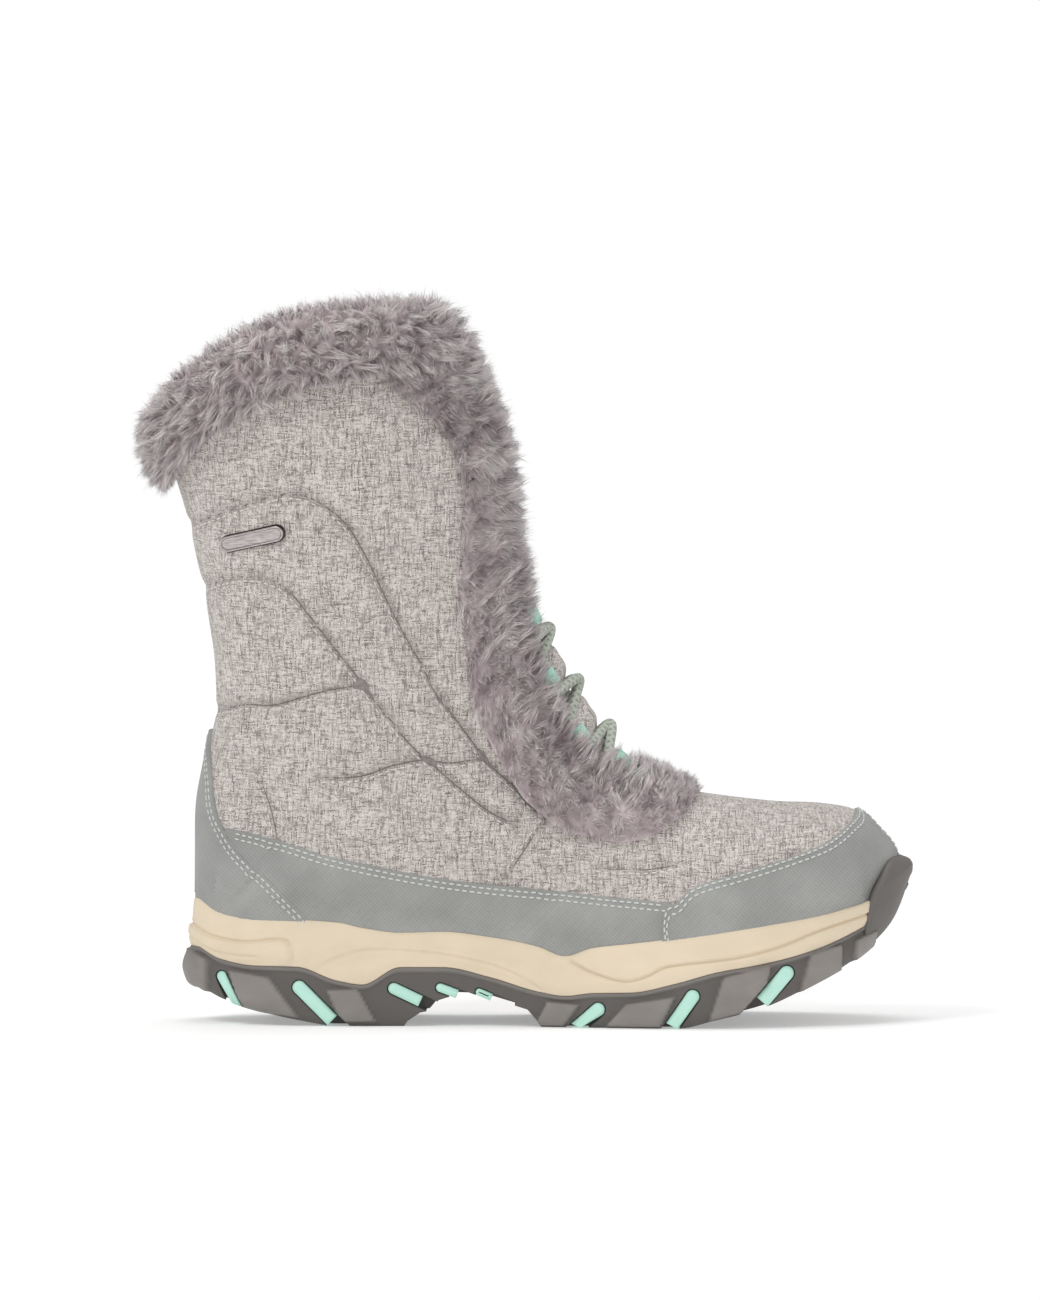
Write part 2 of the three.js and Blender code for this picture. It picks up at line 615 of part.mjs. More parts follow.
// The collar's edge, in shares of the foot's length and the shaft's height.
const COLLAR = [[-0.12, 0.7], [-0.055, 0.78], [-0.033, 0.82], [0.0, 0.855], [0.036, 0.885], [0.082, 0.913], [0.136, 0.936]]
  .concat([[0.193, 0.947], [0.254, 0.951], [0.312, 0.951], [0.36, 0.945]]);
const collarAt = curve(
  COLLAR.map(([along]) => HEEL_OVERHANG + along * FOOT_LENGTH),
  COLLAR.map(([, up]) => upperHeight(up)),
);
const ABOVE = upperHeight(1.5);
const aboveCollar = sideCut(sideBand(collarAt, () => ABOVE, HEEL_X - 30, TOE_X, 40));
const throatSteps = [...THROAT.map((row) => row.section), 24];
const throatPoints = throatSteps
  .sort((a, b) => a - b)
  .map((section) => form(section, throatEdge(section)))
  .map((p) => [p.x, p.z]);
const beyondThroat = [[throatPoints.at(-1)[0], ABOVE], [TOE_X, ABOVE], [TOE_X, throatPoints[0][1] + 6]];
const throatCut = (gap) => {
  const edge = throatPoints.map(([x, z], i) => {
    const [x0, z0] = throatPoints[Math.max(0, i - 1)];
    const [x1, z1] = throatPoints[Math.min(throatPoints.length - 1, i + 1)];
    const length = Math.hypot(x1 - x0, z1 - z0);
    return [x + ((z1 - z0) / length) * gap, z + ((x0 - x1) / length) * gap];
  });
  return sideCut([[edge[0][0] + 2, edge[0][1] + 6], ...edge, ...beyondThroat]);
};
const wall = (gap) =>
  body(gap)
    .subtract(body(-WALL - gap, 20))
    .subtract(aboveCollar.translate([0, 0, gap]))
    .subtract(throatCut(gap));
const upper = wall(0);
const roomOfUpper = wall(CLEARANCE);
const raisedMidsole = midsole.translate([0, 0, CLEARANCE]);
const insole = insoleBlank.subtract(raisedMidsole).subtract(roomOfUpper);

// Overlays, each a region of the side view of one thin layer over the upper.
const TOE_CAP_EDGE = [[0.664, -0.1], [0.667, 0.02], [0.684, 0.03], [0.702, 0.05], [0.726, 0.0615], [0.777, 0.077]]
  .concat([[0.849, 0.101], [0.9, 0.122], [0.935, 0.15], [0.945, 0.166], [0.952, 0.22]]);
const RAND_TOP = [[0.115, 0.128], [0.2, 0.1], [0.315, 0.0735], [0.405, 0.059], [0.518, 0.047], [0.6, 0.0375], [0.684, 0.03]];
const COUNTER_EDGE = [[0.168, -0.06], [0.157, 0.0], [0.11, 0.058], [0.063, 0.105], [0.037, 0.148], [0.026, 0.18]]
  .concat([[0.022, 0.225], [0.015, 0.274], [0.0, 0.285], [-0.03, 0.285]]);
const upperSide = ([along, up]) => [HEEL_OVERHANG + along * FOOT_LENGTH, upperHeight(up)];
const overlayLayer = body(OVERLAY + CLEARANCE).subtract(body(CLEARANCE));
const underFeather = sideCut(sideBand(() => -10, lifted(featherAt, CLEARANCE), HEEL_X, TOE_X));
const overlaySheet = overlayLayer.subtract(underFeather).subtract(raisedMidsole);
const moved = (points, dx, dz = 0) => points.map(([x, z]) => [x + dx, z + dz]);
const toeEdge = TOE_CAP_EDGE.map(upperSide);
const counterEdge = COUNTER_EDGE.map(upperSide);
const toeCap = overlaySheet.intersect(
  sideCut([...toeEdge, [TOE_X, toeEdge.at(-1)[1]], [TOE_X, toeEdge[0][1]]]),
);
const heelCounter = overlaySheet.intersect(
  sideCut([[HEEL_X, counterEdge[0][1]], ...counterEdge.slice(0, -1), [HEEL_X, counterEdge.at(-1)[1]]]),
);
const randRegion = [
  ...moved(counterEdge.slice(0, 4), CLEARANCE),
  ...RAND_TOP.map(upperSide),
  ...moved(toeEdge.slice(0, 2).reverse(), -CLEARANCE),
];
const sideRand = (s) => overlaySheet.intersect(s < 0 ? sideCut(randRegion, -200, 0) : sideCut(randRegion, 0, 200));

const CUT_IN = 0.4; // how far a blank reaches into the upper before the upper's room is cut from it

// The tongue: tucked under the throat's edges, padded out between them, and sunk under the pile further up.
const TONGUE_SECTIONS = [6.9, 7.4, 7.9, 8.3, 8.8, 9.5, 10.3, 11.2, 12.1, 13, 14, 16, 18, 20.5, 23.6];
const tuckedUnder = -WALL - CLEARANCE + CUT_IN;
const tongueRise = curve([6.9, 7.9, 8.8, 12, 14, 24], [0, 0, 4.8, 4.6, -1.5, -1.5]);
const tongueFace = (section, around) => {
  const edge = throatEdge(section);
  const open = edge === 0 ? 0 : 1 - smooth(Math.abs(around) / edge, 0.45, 0.96);
  return tuckedUnder + tongueRise(section) * open;
};
const TONGUE_STEPS = [-1, -0.75, -0.5, -0.25, 0, 0.25, 0.5, 0.75, 1];
const tongueBlank = loft(
  TONGUE_SECTIONS.map((section) => {
    const reach = throatEdge(section) + TONGUE_TUCK;
    const face = TONGUE_STEPS.map((k) => skin(section, k * reach, tongueFace(section, k * reach)));
    const back = TONGUE_STEPS.map((k) => skin(section, k * reach, Math.min(tuckedUnder, tongueFace(section, k * reach)) - TONGUE));
    return [...face, ...back.reverse()];
  }),
);

// Pile trim

// A lock of pile: a thin pyramid with its root in the trim.
function lock(root, tip, width) {
  const way = tip.clone().sub(root);
  const cone = new THREE.ConeGeometry(width / 2, way.length(), 4);
  cone.translate(0, way.length() / 2, 0);
  cone.applyQuaternion(new THREE.Quaternion().setFromUnitVectors(V(0, 1, 0), way.normalize()));
  cone.translate(root.x, root.y, root.z);
  return solidOfGeometry(cone);
}
const TRIM_JOINT = 20.4; // section at which the collar's trim takes over from the throat's
const TRIM_TOP = 23.9;
const GOLDEN = 0.618034;
const LOCK_WIDTH = 7;

// The trim down the throat: [inner edge, outer edge] at each step, from one side's top round the vamp to the other's.
const VAMP_TRIM = rowsOf(
  ["innerSection", "innerEdge", "outerSection", "outerEdge"],
  [
    [8.4, 0.15, 8.0, 0.325],
    [8.0, 0.095, 7.3, 0.275],
    [7.75, 0.05, 6.75, 0.18],
    [7.62, 0.0, 6.5, 0.0],
  ],
);
const trimInner = throatCurve("trimInner");
const trimOuter = throatCurve("trimOuter");
const trimStep = (section) => ({
  innerSection: section,
  innerEdge: trimInner(section),
  outerSection: section,
  outerEdge: trimOuter(section),
});
const legSteps = [TRIM_JOINT, 19, 17.5, 16, 15, 14, 13, 12, 11, 10, 9].map(trimStep);
const halfTrim = [...legSteps, ...VAMP_TRIM];
const trimPath = [
  ...halfTrim.map((row) => [row, -1]),
  ...halfTrim
    .slice(0, -1)
    .reverse()
    .map((row) => [row, 1]),
];
const TRIM_STEPS = [0, 0.15, 0.5, 0.85, 1];
const OVER_LACES = 3.1; // how far the trim clears the throat's edge where it covers the lacing
const pileShape = (share) => Math.sin(Math.PI * clamp(share, 0.04, 0.96)) ** 0.55;
const trimPoint = ([row, s], share, out) =>
  skin(mix(row.innerSection, row.outerSection, share), s * mix(row.innerEdge, row.outerEdge, share), out);
const trimBottom = ([row], share) => {
  const section = mix(row.innerSection, row.outerSection, share);
  const place = mix(row.innerEdge, row.outerEdge, share);
  const open = section > 8.2 ? 1 - smooth(place - throatEdge(section), 0, 0.03) : 0;
  return mix(-CUT_IN, OVER_LACES, open);
};
const trimRing = (step) => {
  const top = (share) => trimBottom(step, share) + 0.8 + PILE * pileShape(share);
  const under = TRIM_STEPS.map((share) => trimPoint(step, share, trimBottom(step, share)));
  const over = TRIM_STEPS.map((share) => trimPoint(step, share, top(share)));
  return [...under, ...over.reverse()];
};
const collarStrip = (s) =>
  loft([TRIM_JOINT + 0.07, 21.5, 22.4, 23.2, TRIM_TOP].map((section) => trimRing([trimStep(section), s])));
const TRIM_LOCKS = 15;
const trimLocks = Array.from({ length: TRIM_LOCKS }, (_, i) => {
  const at = mix(1, trimPath.length - 2, (i + 0.5) / TRIM_LOCKS);
  const step = trimPath[Math.floor(at)];
  const share = mix(0.25, 0.75, (i * GOLDEN) % 1);
  const height = trimBottom(step, share) + PILE * pileShape(share);
  return lock(trimPoint(step, share, height * 0.55), trimPoint(step, share + 0.1, height + 3.4), LOCK_WIDTH);
});
const throatTrimBlank = wasm.Manifold.union([loft(trimPath.map(trimRing)), ...trimLocks]).subtract(roomOfUpper);

// The collar's trim hooks over the shaft's edge. Its place round the collar is found on the last's own surface.
function onCollar(around) {
  let [low, high] = [21, LAST_SECTION];
  for (let i = 0; i < 30; i++) {
    const half = (low + high) / 2;
    const p = form(half, around);
    if (p.z < collarAt(p.x)) low = half;
    else high = half;
  }
  return (low + high) / 2;
}
const upFrom = (section, around, up) => {
  const rate = form(section, around).distanceTo(form(section - 1, around));
  return Math.min(LAST_SECTION, section + up / rate);
};
// The hook's own section: how far out from the shaft's face, and how far up from its edge.
const HOOK = [
  [-CUT_IN, -COLLAR_BAND],
  [COLLAR_PILE * 0.6, -COLLAR_BAND * 1.02],
  [COLLAR_PILE, -COLLAR_BAND * 0.72],
  [COLLAR_PILE * 1.05, -COLLAR_BAND * 0.3],
  [COLLAR_PILE * 0.8, COLLAR_PILE * 0.35],
  [COLLAR_PILE * 0.2, COLLAR_PILE * 0.85],
  [-WALL - COLLAR_PILE * 0.2, COLLAR_PILE * 0.8],
  [-WALL - COLLAR_PILE * 0.6, COLLAR_PILE * 0.2],
  [-WALL - COLLAR_PILE * 0.6, -COLLAR_TURN_IN * 0.7],
  [-WALL - COLLAR_PILE * 0.3, -COLLAR_TURN_IN],
  [-WALL + CUT_IN, -COLLAR_TURN_IN],
  [-WALL + CUT_IN, -2 * CUT_IN],
  [-CUT_IN, -2 * CUT_IN],
];
const COLLAR_FRONT = 0.165; // how near the ridge the hook ends, as a share of a half section
const COLLAR_STEPS = [1, 0.9, 0.8, 0.7, 0.6, 0.5, 0.4, 0.3, 0.2, COLLAR_FRONT];
const collarPath = [...COLLAR_STEPS.map((a) => -a).reverse(), ...COLLAR_STEPS.slice(1)];
const hookAt = (around, out, up) => {
  const turnIn = smooth(Math.abs(around), 0.22, 0.36); // the tongue lies where the hook has no inner side
  const depth = out < -WALL ? mix(0.2 - WALL, out, turnIn) : out;
  return skin(upFrom(onCollar(around), around, up), around, depth);
};
const COLLAR_LOCKS = 22;
const collarLocks = Array.from({ length: COLLAR_LOCKS }, (_, i) => {
  const turn = mix(COLLAR_FRONT + 0.04, 2 - COLLAR_FRONT - 0.04, (i + 0.5) / COLLAR_LOCKS);
  const around = turn < 1 ? turn : turn - 2;
  const up = mix(-COLLAR_BAND * 0.8, COLLAR_PILE * 0.3, (i * GOLDEN) % 1);
  return lock(
    hookAt(around, COLLAR_PILE * 0.6, up),
    hookAt(around, COLLAR_PILE * 1.35, up - COLLAR_PILE * 0.3),
    LOCK_WIDTH,
  );
});
const collarTrimBlank = wasm.Manifold.union([
  loft(collarPath.map((around) => HOOK.map(([out, up]) => hookAt(around, out, up)))),
  collarStrip(-1),
  collarStrip(1),
  ...collarLocks,
]).subtract(roomOfUpper);

// Lacing

// Webbing loops on the throat's edge, from the vamp up.
const LOOPS = rowsOf(
  ["section", "around"],
  [
    [8.4, 0.13],
    [9.55, 0.18],
    [10.9, 0.165],
    [12.35, 0.105],
    [15.4, 0.064],
    [19.4, 0.064],
  ],
);
const STRAIGHT = 0.95; // how far the cord runs straight to each side of a loop, in loop widths
const loopHeight = LACE + 2 * (4 * CLEARANCE + LOOP_WEBBING);
const loopOut = (loop) => tongueFace(loop.section, loop.around) + CLEARANCE + 0.4 + loopHeight / 2;
const laceAt = (section, around, up = 0) => skin(section, around, tongueFace(section, around) + CLEARANCE + LACE / 2 + 0.3 + up);
function frameAt(section, around, out) {
  const at = skin(section, around, out);
  const up = skin(section + 0.1, around, out).sub(at).normalize();
  const normal = skin(section, around, out + 1).sub(at).normalize();
  const across = up.clone().cross(normal).normalize();
  return new THREE.Matrix4().makeBasis(across, normal.clone(), across.clone().cross(normal)).setPosition(at);
}
function webbingLoop(loop, s, grow = 0) {
  const half = loopHeight / 2 + grow;
  const hole = half - LOOP_WEBBING - grow;
  const shape = new THREE.Shape();
  const tail = s * (half + 2.2);
  shape.moveTo(0, -half);
  shape.lineTo(tail, -half);
  shape.lineTo(tail, -half + 2 * (LOOP_WEBBING + grow));
  shape.lineTo(s * half * 0.9, -half + 2 * (LOOP_WEBBING + grow));
  shape.absarc(0, 0, half, s < 0 ? Math.PI * 1.12 : -Math.PI * 0.12, s < 0 ? -Math.PI / 2 : Math.PI * 1.5, s < 0);
  if (grow === 0) {
    const round = new THREE.Path();
    round.absarc(0, 0, hole, 0, Math.PI * 2, false);
    shape.holes.push(round);
  }
  const depth = LOOP_WIDTH + 2 * grow;
  const geometry = new THREE.ExtrudeGeometry(shape, { depth, bevelEnabled: false, curveSegments: grow === 0 ? 3 : 4 });
  geometry.translate(0, 0, -depth / 2);
  geometry.applyMatrix4(frameAt(loop.section, s * loop.around, loopOut(loop)));
  return solidOfGeometry(geometry);
}

// One run of the cord from the vamp up, crossing between the loops.
function laceRun(s, grow = 0) {
  const points = [laceAt(LOOPS[0].section - 0.55, 0, 0)];
  LOOPS.forEach((loop, i) => {
    const here = i % 2 ? -s : s;
    const inLoop = (up) => skin(upAlong(loop, up), here * loop.around, loopOut(loop));
    points.push(inLoop(-LOOP_WIDTH * STRAIGHT), inLoop(0), inLoop(LOOP_WIDTH * STRAIGHT));
    const next = LOOPS[i + 1];
    if (next) points.push(laceAt(mix(loop.section, next.section, 0.5), 0, s < 0 ? LACE * 0.45 : LACE * 0.2));
  });
  const path = new THREE.CatmullRomCurve3(points, false, "centripetal");
  const section = new THREE.Shape();
  const radius = grow === 0 ? LACE / 2 : (LACE / 2 + grow) / Math.cos(Math.PI / 4);
  section.absarc(0, 0, radius, 0, Math.PI * 2, false);
  const steps = 5 * LOOPS.length;
  const curveSegments = grow === 0 ? 3 : 2;
  const tube = new THREE.ExtrudeGeometry(section, { steps, extrudePath: path, curveSegments, bevelEnabled: false });
  return solidOfGeometry(tube);
}
function upAlong(loop, up) {
  const rate = form(loop.section + 0.5, loop.around).distanceTo(form(loop.section - 0.5, loop.around));
  return loop.section + up / rate;
}
const laceWith = (grow) => laceRun(-1, grow).add(laceRun(1, grow));
const lace = laceWith(0);

// The cord and its loops press into the tongue and the trim around them.
const roomOfLacing = wasm.Manifold.union([
  laceWith(CLEARANCE),
  ...LOOPS.flatMap((loop) => [-1, 1].map((s) => webbingLoop(loop, s, 1.6 * CLEARANCE))),
]);
const tongue = mainBody(tongueBlank.subtract(roomOfUpper).subtract(roomOfLacing));
const throatTrim = mainBody(throatTrimBlank.subtract(roomOfLacing));
const collarTrim = mainBody(collarTrimBlank);

// Badge: a plain rounded plate bent to the shaft.
const BADGE_MIDDLE = [0.082, 0.609]; // along the foot, up the shaft
const badgePlace = placeOf(...upperSide(BADGE_MIDDLE));
function badge() {
  const stations = [-1, -0.93, -0.8, -0.4, 0, 0.4, 0.8, 0.93, 1];
  const at = form(badgePlace.section, badgePlace.around);
  const rate = form(badgePlace.section + 0.5, badgePlace.around).distanceTo(form(badgePlace.section - 0.5, badgePlace.around));
  const turn = form(badgePlace.section, badgePlace.around + 0.02).distanceTo(at) / 0.02;
  const tilt = THREE.MathUtils.degToRad(BADGE_TILT);
  const point = (a, b, out) => {
    const [x, z] = [a * Math.cos(tilt) - b * Math.sin(tilt), a * Math.sin(tilt) + b * Math.cos(tilt)];
    const lean = BADGE_LEAN;
    return skin(
      badgePlace.section + (z * Math.cos(lean) - x * Math.sin(lean)) / rate,
      badgePlace.around + (x * Math.cos(lean) + z * Math.sin(lean)) / turn,
      out,
    );
  };
  const corner = BADGE_HEIGHT / 2;
  return loft(
    stations.map((k) => {
      const a = (k * BADGE_LENGTH) / 2;
      const past = Math.max(0, Math.abs(a) - (BADGE_LENGTH / 2 - corner));
      const b = Math.max(0.6, Math.sqrt(Math.max(0, corner * corner - past * past)));
      const low = -CUT_IN;
      const high = CLEARANCE + BADGE_THICKNESS;
      return [
        point(a, -b, low),
        point(a, b, low),
        point(a, b, high - 0.5),
        point(a, b * 0.7, high),
        point(a, -b * 0.7, high),
        point(a, -b, high - 0.5),
      ];
    }),
  );
}
const BADGE_LEAN = THREE.MathUtils.degToRad(38); // how far the section lies from level there

// The boot, each piece with its own finish.
const FINISHES = {
  rubber: { color: 0x6f6a68, roughness: 0.75 },
  mint: { color: 0xa9e6d0, roughness: 0.6 },
  foam: { color: 0xecdfc6, roughness: 0.7 },
  fabric: { color: 0xbdb6b1, roughness: 0.95 },
  synthetic: { color: 0x979c9a, roughness: 0.65 },
  pile: { color: 0x9c9296, roughness: 1 },
  lining: { color: 0x9a9896, roughness: 0.95 },
  cord: { color: 0x9ba394, roughness: 0.85 },
  metal: { color: 0xb0a9aa, roughness: 0.3, metalness: 1 },
};
const finishes = Object.fromEntries(
  Object.entries(FINISHES).map(([name, values]) => [name, new THREE.MeshStandardMaterial(values)]),
);

const pieces = [
  ["outsole", outsole, "rubber"],
  ...lugSolids.map(([name, solid]) => [name, solid, "mint"]),
  ["midsole", midsole, "foam"],
  ["insole", insole, "lining"],
  ["upper", upper, "fabric"],
  ["toe_cap", toeCap, "synthetic"],
  ["side_rand_outer", sideRand(-1), "synthetic"],
  ["side_rand_inner", sideRand(1), "synthetic"],
  ["heel_counter", heelCounter, "synthetic"],
  ["tongue", tongue, "fabric"],
  ["throat_trim", throatTrim, "pile"],
  ["collar_trim", collarTrim, "pile"],
  ...LOOPS.flatMap((loop, i) => [
    [`lace_loop_outer_${i + 1}`, webbingLoop(loop, -1), "mint"],
    [`lace_loop_inner_${i + 1}`, webbingLoop(loop, 1), "mint"],
  ]),
  ["lace", lace, "cord"],
  ["badge_plate", badge().subtract(roomOfUpper), "metal"],
];

const boot = new THREE.Group();
boot.name = "snow_boot";
for (const [name, solid, finish] of pieces) {
  const { vertProperties, triVerts } = welded(solid).getMesh();
  const geometry = new THREE.BufferGeometry();
  geometry.setAttribute("position", new THREE.BufferAttribute(vertProperties, 3));
  geometry.setIndex(new THREE.BufferAttribute(triVerts, 1));
  geometry.computeVertexNormals();
  const mesh = new THREE.Mesh(geometry, finishes[finish]);
  mesh.name = name;
  boot.add(mesh);
}

// The boot stands on the floor with its origin under the middle of its box.
const box = new THREE.Box3().setFromObject(boot);
const middle = box.getCenter(V(0, 0, 0));
boot.position.set(-middle.x, -middle.y, -box.min.z);

export default boot;
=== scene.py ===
"""A woman's lace-up snow boot: fabric, pile, stitching, lacing and sole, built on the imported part."""

import math

import bpy
import numpy as np
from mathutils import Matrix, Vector


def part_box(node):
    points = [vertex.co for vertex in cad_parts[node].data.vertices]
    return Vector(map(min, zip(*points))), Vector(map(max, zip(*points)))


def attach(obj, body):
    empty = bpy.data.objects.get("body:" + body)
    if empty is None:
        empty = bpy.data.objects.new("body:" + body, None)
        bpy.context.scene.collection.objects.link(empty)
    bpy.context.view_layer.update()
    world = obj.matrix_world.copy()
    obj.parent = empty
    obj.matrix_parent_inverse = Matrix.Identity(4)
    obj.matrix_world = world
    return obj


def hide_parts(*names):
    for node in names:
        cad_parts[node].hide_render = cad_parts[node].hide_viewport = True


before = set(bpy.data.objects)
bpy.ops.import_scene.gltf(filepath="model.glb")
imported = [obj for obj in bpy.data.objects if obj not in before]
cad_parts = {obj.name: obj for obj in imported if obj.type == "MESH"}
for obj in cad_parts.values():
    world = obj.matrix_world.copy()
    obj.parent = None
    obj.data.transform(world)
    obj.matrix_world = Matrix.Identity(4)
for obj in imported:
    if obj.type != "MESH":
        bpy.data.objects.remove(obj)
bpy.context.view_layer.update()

# The last, as in the part: lengths are shares of the boot's named sizes
# Local millimetres start at the heel's back and the floor, the toe towards +X, the outer side towards -Y.
FOOT_LENGTH = 261.5
BALL_WIDTH = 94.0
SOLE_HEIGHT = 40.0
SHAFT_HEIGHT = 235.0
HEEL_OVERHANG = 6.5
WALL = 3.0
LIP = 3.0
BUMPER = 6.0
HEEL_FLARE = 2.8
OVERLAY = 1.5
LACE = 4.0
SOLE_BACK = HEEL_OVERHANG - LIP - HEEL_FLARE - 0.4
SOLE_LEAN = 0.62
SOLE_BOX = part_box("outsole")
SHIFT_X = SOLE_BOX[0].x * 1000.0 - SOLE_BACK
SHIFT_Y = (SOLE_BOX[0].y + SOLE_BOX[1].y) * 500.0 + SOLE_LEAN


def smooth(x, low, high):
    t = np.clip((x - low) / (high - low), 0.0, 1.0)
    return t * t * (3.0 - 2.0 * t)


def mix(a, b, t):
    return a + (b - a) * t


def curve(xs, ys):
    """A smooth curve through rows that never overshoots them."""
    xs = np.asarray(xs, float)
    ys = np.asarray(ys, float)
    h = np.diff(xs)
    slope = np.diff(ys) / h
    tangent = np.empty_like(ys)
    tangent[0] = slope[0]
    tangent[-1] = slope[-1]
    product = slope[:-1] * slope[1:]
    total = np.where(product > 0, slope[:-1] + slope[1:], 1.0)
    tangent[1:-1] = np.where(product > 0, 2.0 * product / total, 0.0)

    def at(x):
        x = np.clip(np.asarray(x, float), xs[0], xs[-1])
        i = np.clip(np.searchsorted(xs, x, side="right") - 1, 0, len(h) - 1)
        t = (x - xs[i]) / h[i]
        t2 = t * t
        t3 = t2 * t
        ends = ys[i] * (2 * t3 - 3 * t2 + 1) + ys[i + 1] * (3 * t2 - 2 * t3)
        return ends + h[i] * (tangent[i] * (t3 - 2 * t2 + t) + tangent[i + 1] * (t3 - t2))

    return at


def through(values, before, after):
    """A rounder curve through rows by their number, given the values just past each end."""
    every = np.array([before, *values, after], float)

    def at(row):
        row = np.asarray(row, float)
        i = np.clip(np.floor(row).astype(int), 0, len(values) - 2)
        t = row - i
        a, b, c, d = every[i], every[i + 1], every[i + 2], every[i + 3]
        cubic = (2 * a - 5 * b + 4 * c - d) * t * t + (3 * b - a - 3 * c + d) * t**3
        return 0.5 * (2 * b + (c - a) * t + cubic)

    return at


def rounded(points, rows):
    """A rounded line through points, at their row numbers."""
    points = np.asarray(points, float)
    before, after = 2 * points[0] - points[1], 2 * points[-1] - points[-2]
    columns = [through(points[:, k], before[k], after[k])(rows) for k in range(points.shape[1])]
    return np.stack(columns, axis=-1)


def run_of(points, least=0.0):
    """The length of a line from its start to each of its points."""
    steps = np.linalg.norm(np.diff(points, axis=0), axis=1) + least
    return np.concatenate([[0], np.cumsum(steps)])


def looked_up(at, run, rows):
    """Each column of rows, looked up at places along a run."""
    return np.stack([np.interp(at, run, rows[:, k]) for k in range(rows.shape[1])], axis=-1)


# The sole's heights along the foot: floor, outsole's top, seat inside, and midsole's top edge
HEIGHTS = np.array([
    (0.0, 0.33, 0.72, 0.78, 1.18),
    (0.03, 0.24, 0.62, 0.77, 1.06),
    (0.08, 0.14, 0.565, 0.755, 1.005),
    (0.14, 0.055, 0.56, 0.75, 0.998),
    (0.2, 0.0, 0.43, 0.735, 0.975),
    (0.235, 0.0, 0.395, 0.73, 0.925),
    (0.29, 0.0, 0.56, 0.725, 0.88),
    (0.35, 0.0, 0.56, 0.71, 0.89),
    (0.42, 0.0, 0.465, 0.66, 0.84),
    (0.485, 0.0, 0.34, 0.56, 0.76),
    (0.525, 0.0, 0.3, 0.51, 0.67),
    (0.565, 0.0, 0.33, 0.5, 0.75),
    (0.62, 0.0, 0.34, 0.505, 0.795),
    (0.685, 0.0, 0.43, 0.54, 0.85),
    (0.74, 0.075, 0.53, 0.625, 0.9),
    (0.81, 0.19, 0.61, 0.71, 0.97),
    (0.88, 0.39, 0.725, 0.82, 1.04),
    (0.945, 0.62, 0.9, 0.97, 1.13),
    (0.98, 0.8, 1.03, 1.12, 1.22),
    (1.0, 0.95, 1.16, 1.19, 1.3),
    (1.025, 1.28, 1.3, 1.3, 1.35),
])
ALONG = HEIGHTS[:, 0] * FOOT_LENGTH + HEEL_OVERHANG
floor_at, outsole_top_at, seat_at, feather_at = [
    curve(ALONG, HEIGHTS[:, k] * SOLE_HEIGHT) for k in range(1, 5)
]

# The upper's outline on the sole: along the foot, outer and inner side
OUTLINE = np.array([
    (0.0, 0.0, 0.0),
    (0.01, 0.13, 0.128),
    (0.04, 0.228, 0.223),
    (0.095, 0.303, 0.293),
    (0.17, 0.34, 0.33),
    (0.27, 0.351, 0.33),
    (0.37, 0.358, 0.311),
    (0.47, 0.385, 0.315),
    (0.57, 0.447, 0.376),
    (0.66, 0.497, 0.45),
    (0.735, 0.508, 0.489),
    (0.81, 0.477, 0.491),
    (0.88, 0.402, 0.452),
    (0.935, 0.295, 0.388),
    (0.975, 0.158, 0.301),
    (0.995, 0.012, 0.194),
    (1.0, -0.092, 0.092),
])
TOE = len(OUTLINE) - 1
along_row = through(OUTLINE[:, 0], OUTLINE[1, 0], OUTLINE[TOE - 1, 0])
outer_row = through(OUTLINE[:, 1], -OUTLINE[1, 2], -OUTLINE[TOE - 1, 2])
inner_row = through(OUTLINE[:, 2], -OUTLINE[1, 1], -OUTLINE[TOE - 1, 1])


def on_outline(side, row):
    across = outer_row(row) * -1.0 if side < 0 else inner_row(row)
    return HEEL_OVERHANG + FOOT_LENGTH * along_row(row), BALL_WIDTH * across


DENSE_ROWS = np.linspace(0, TOE, 3000)
BESIDE = {side: on_outline(side, DENSE_ROWS) for side in (-1, 1)}


def outline_beside(side, x):
    xs, ys = BESIDE[-1]
    outer = np.interp(x, np.maximum.accumulate(xs), ys)
    xs, ys = BESIDE[1]
    inner = np.interp(x, np.maximum.accumulate(xs), ys)
    return np.where(side < 0, outer, inner)


def offset_outline(side, row, out):
    """The outline moved outwards in the floor's plane."""
    row = np.asarray(row, float)
    x0, y0 = on_outline(side, np.maximum(0, row - 0.01))
    x1, y1 = on_outline(side, np.minimum(TOE, row + 0.01))
    length = np.hypot(x1 - x0, y1 - y0)
    at_tip = (row <= 0) | (row >= TOE)
    nx = np.where(at_tip, np.where(row <= 0, -1.0, 1.0), (y1 - y0) / length * -side)
    ny = np.where(at_tip, 0.0, (x1 - x0) / length * side)
    x, y = on_outline(side, row)
    return x + nx * out, y + ny * out


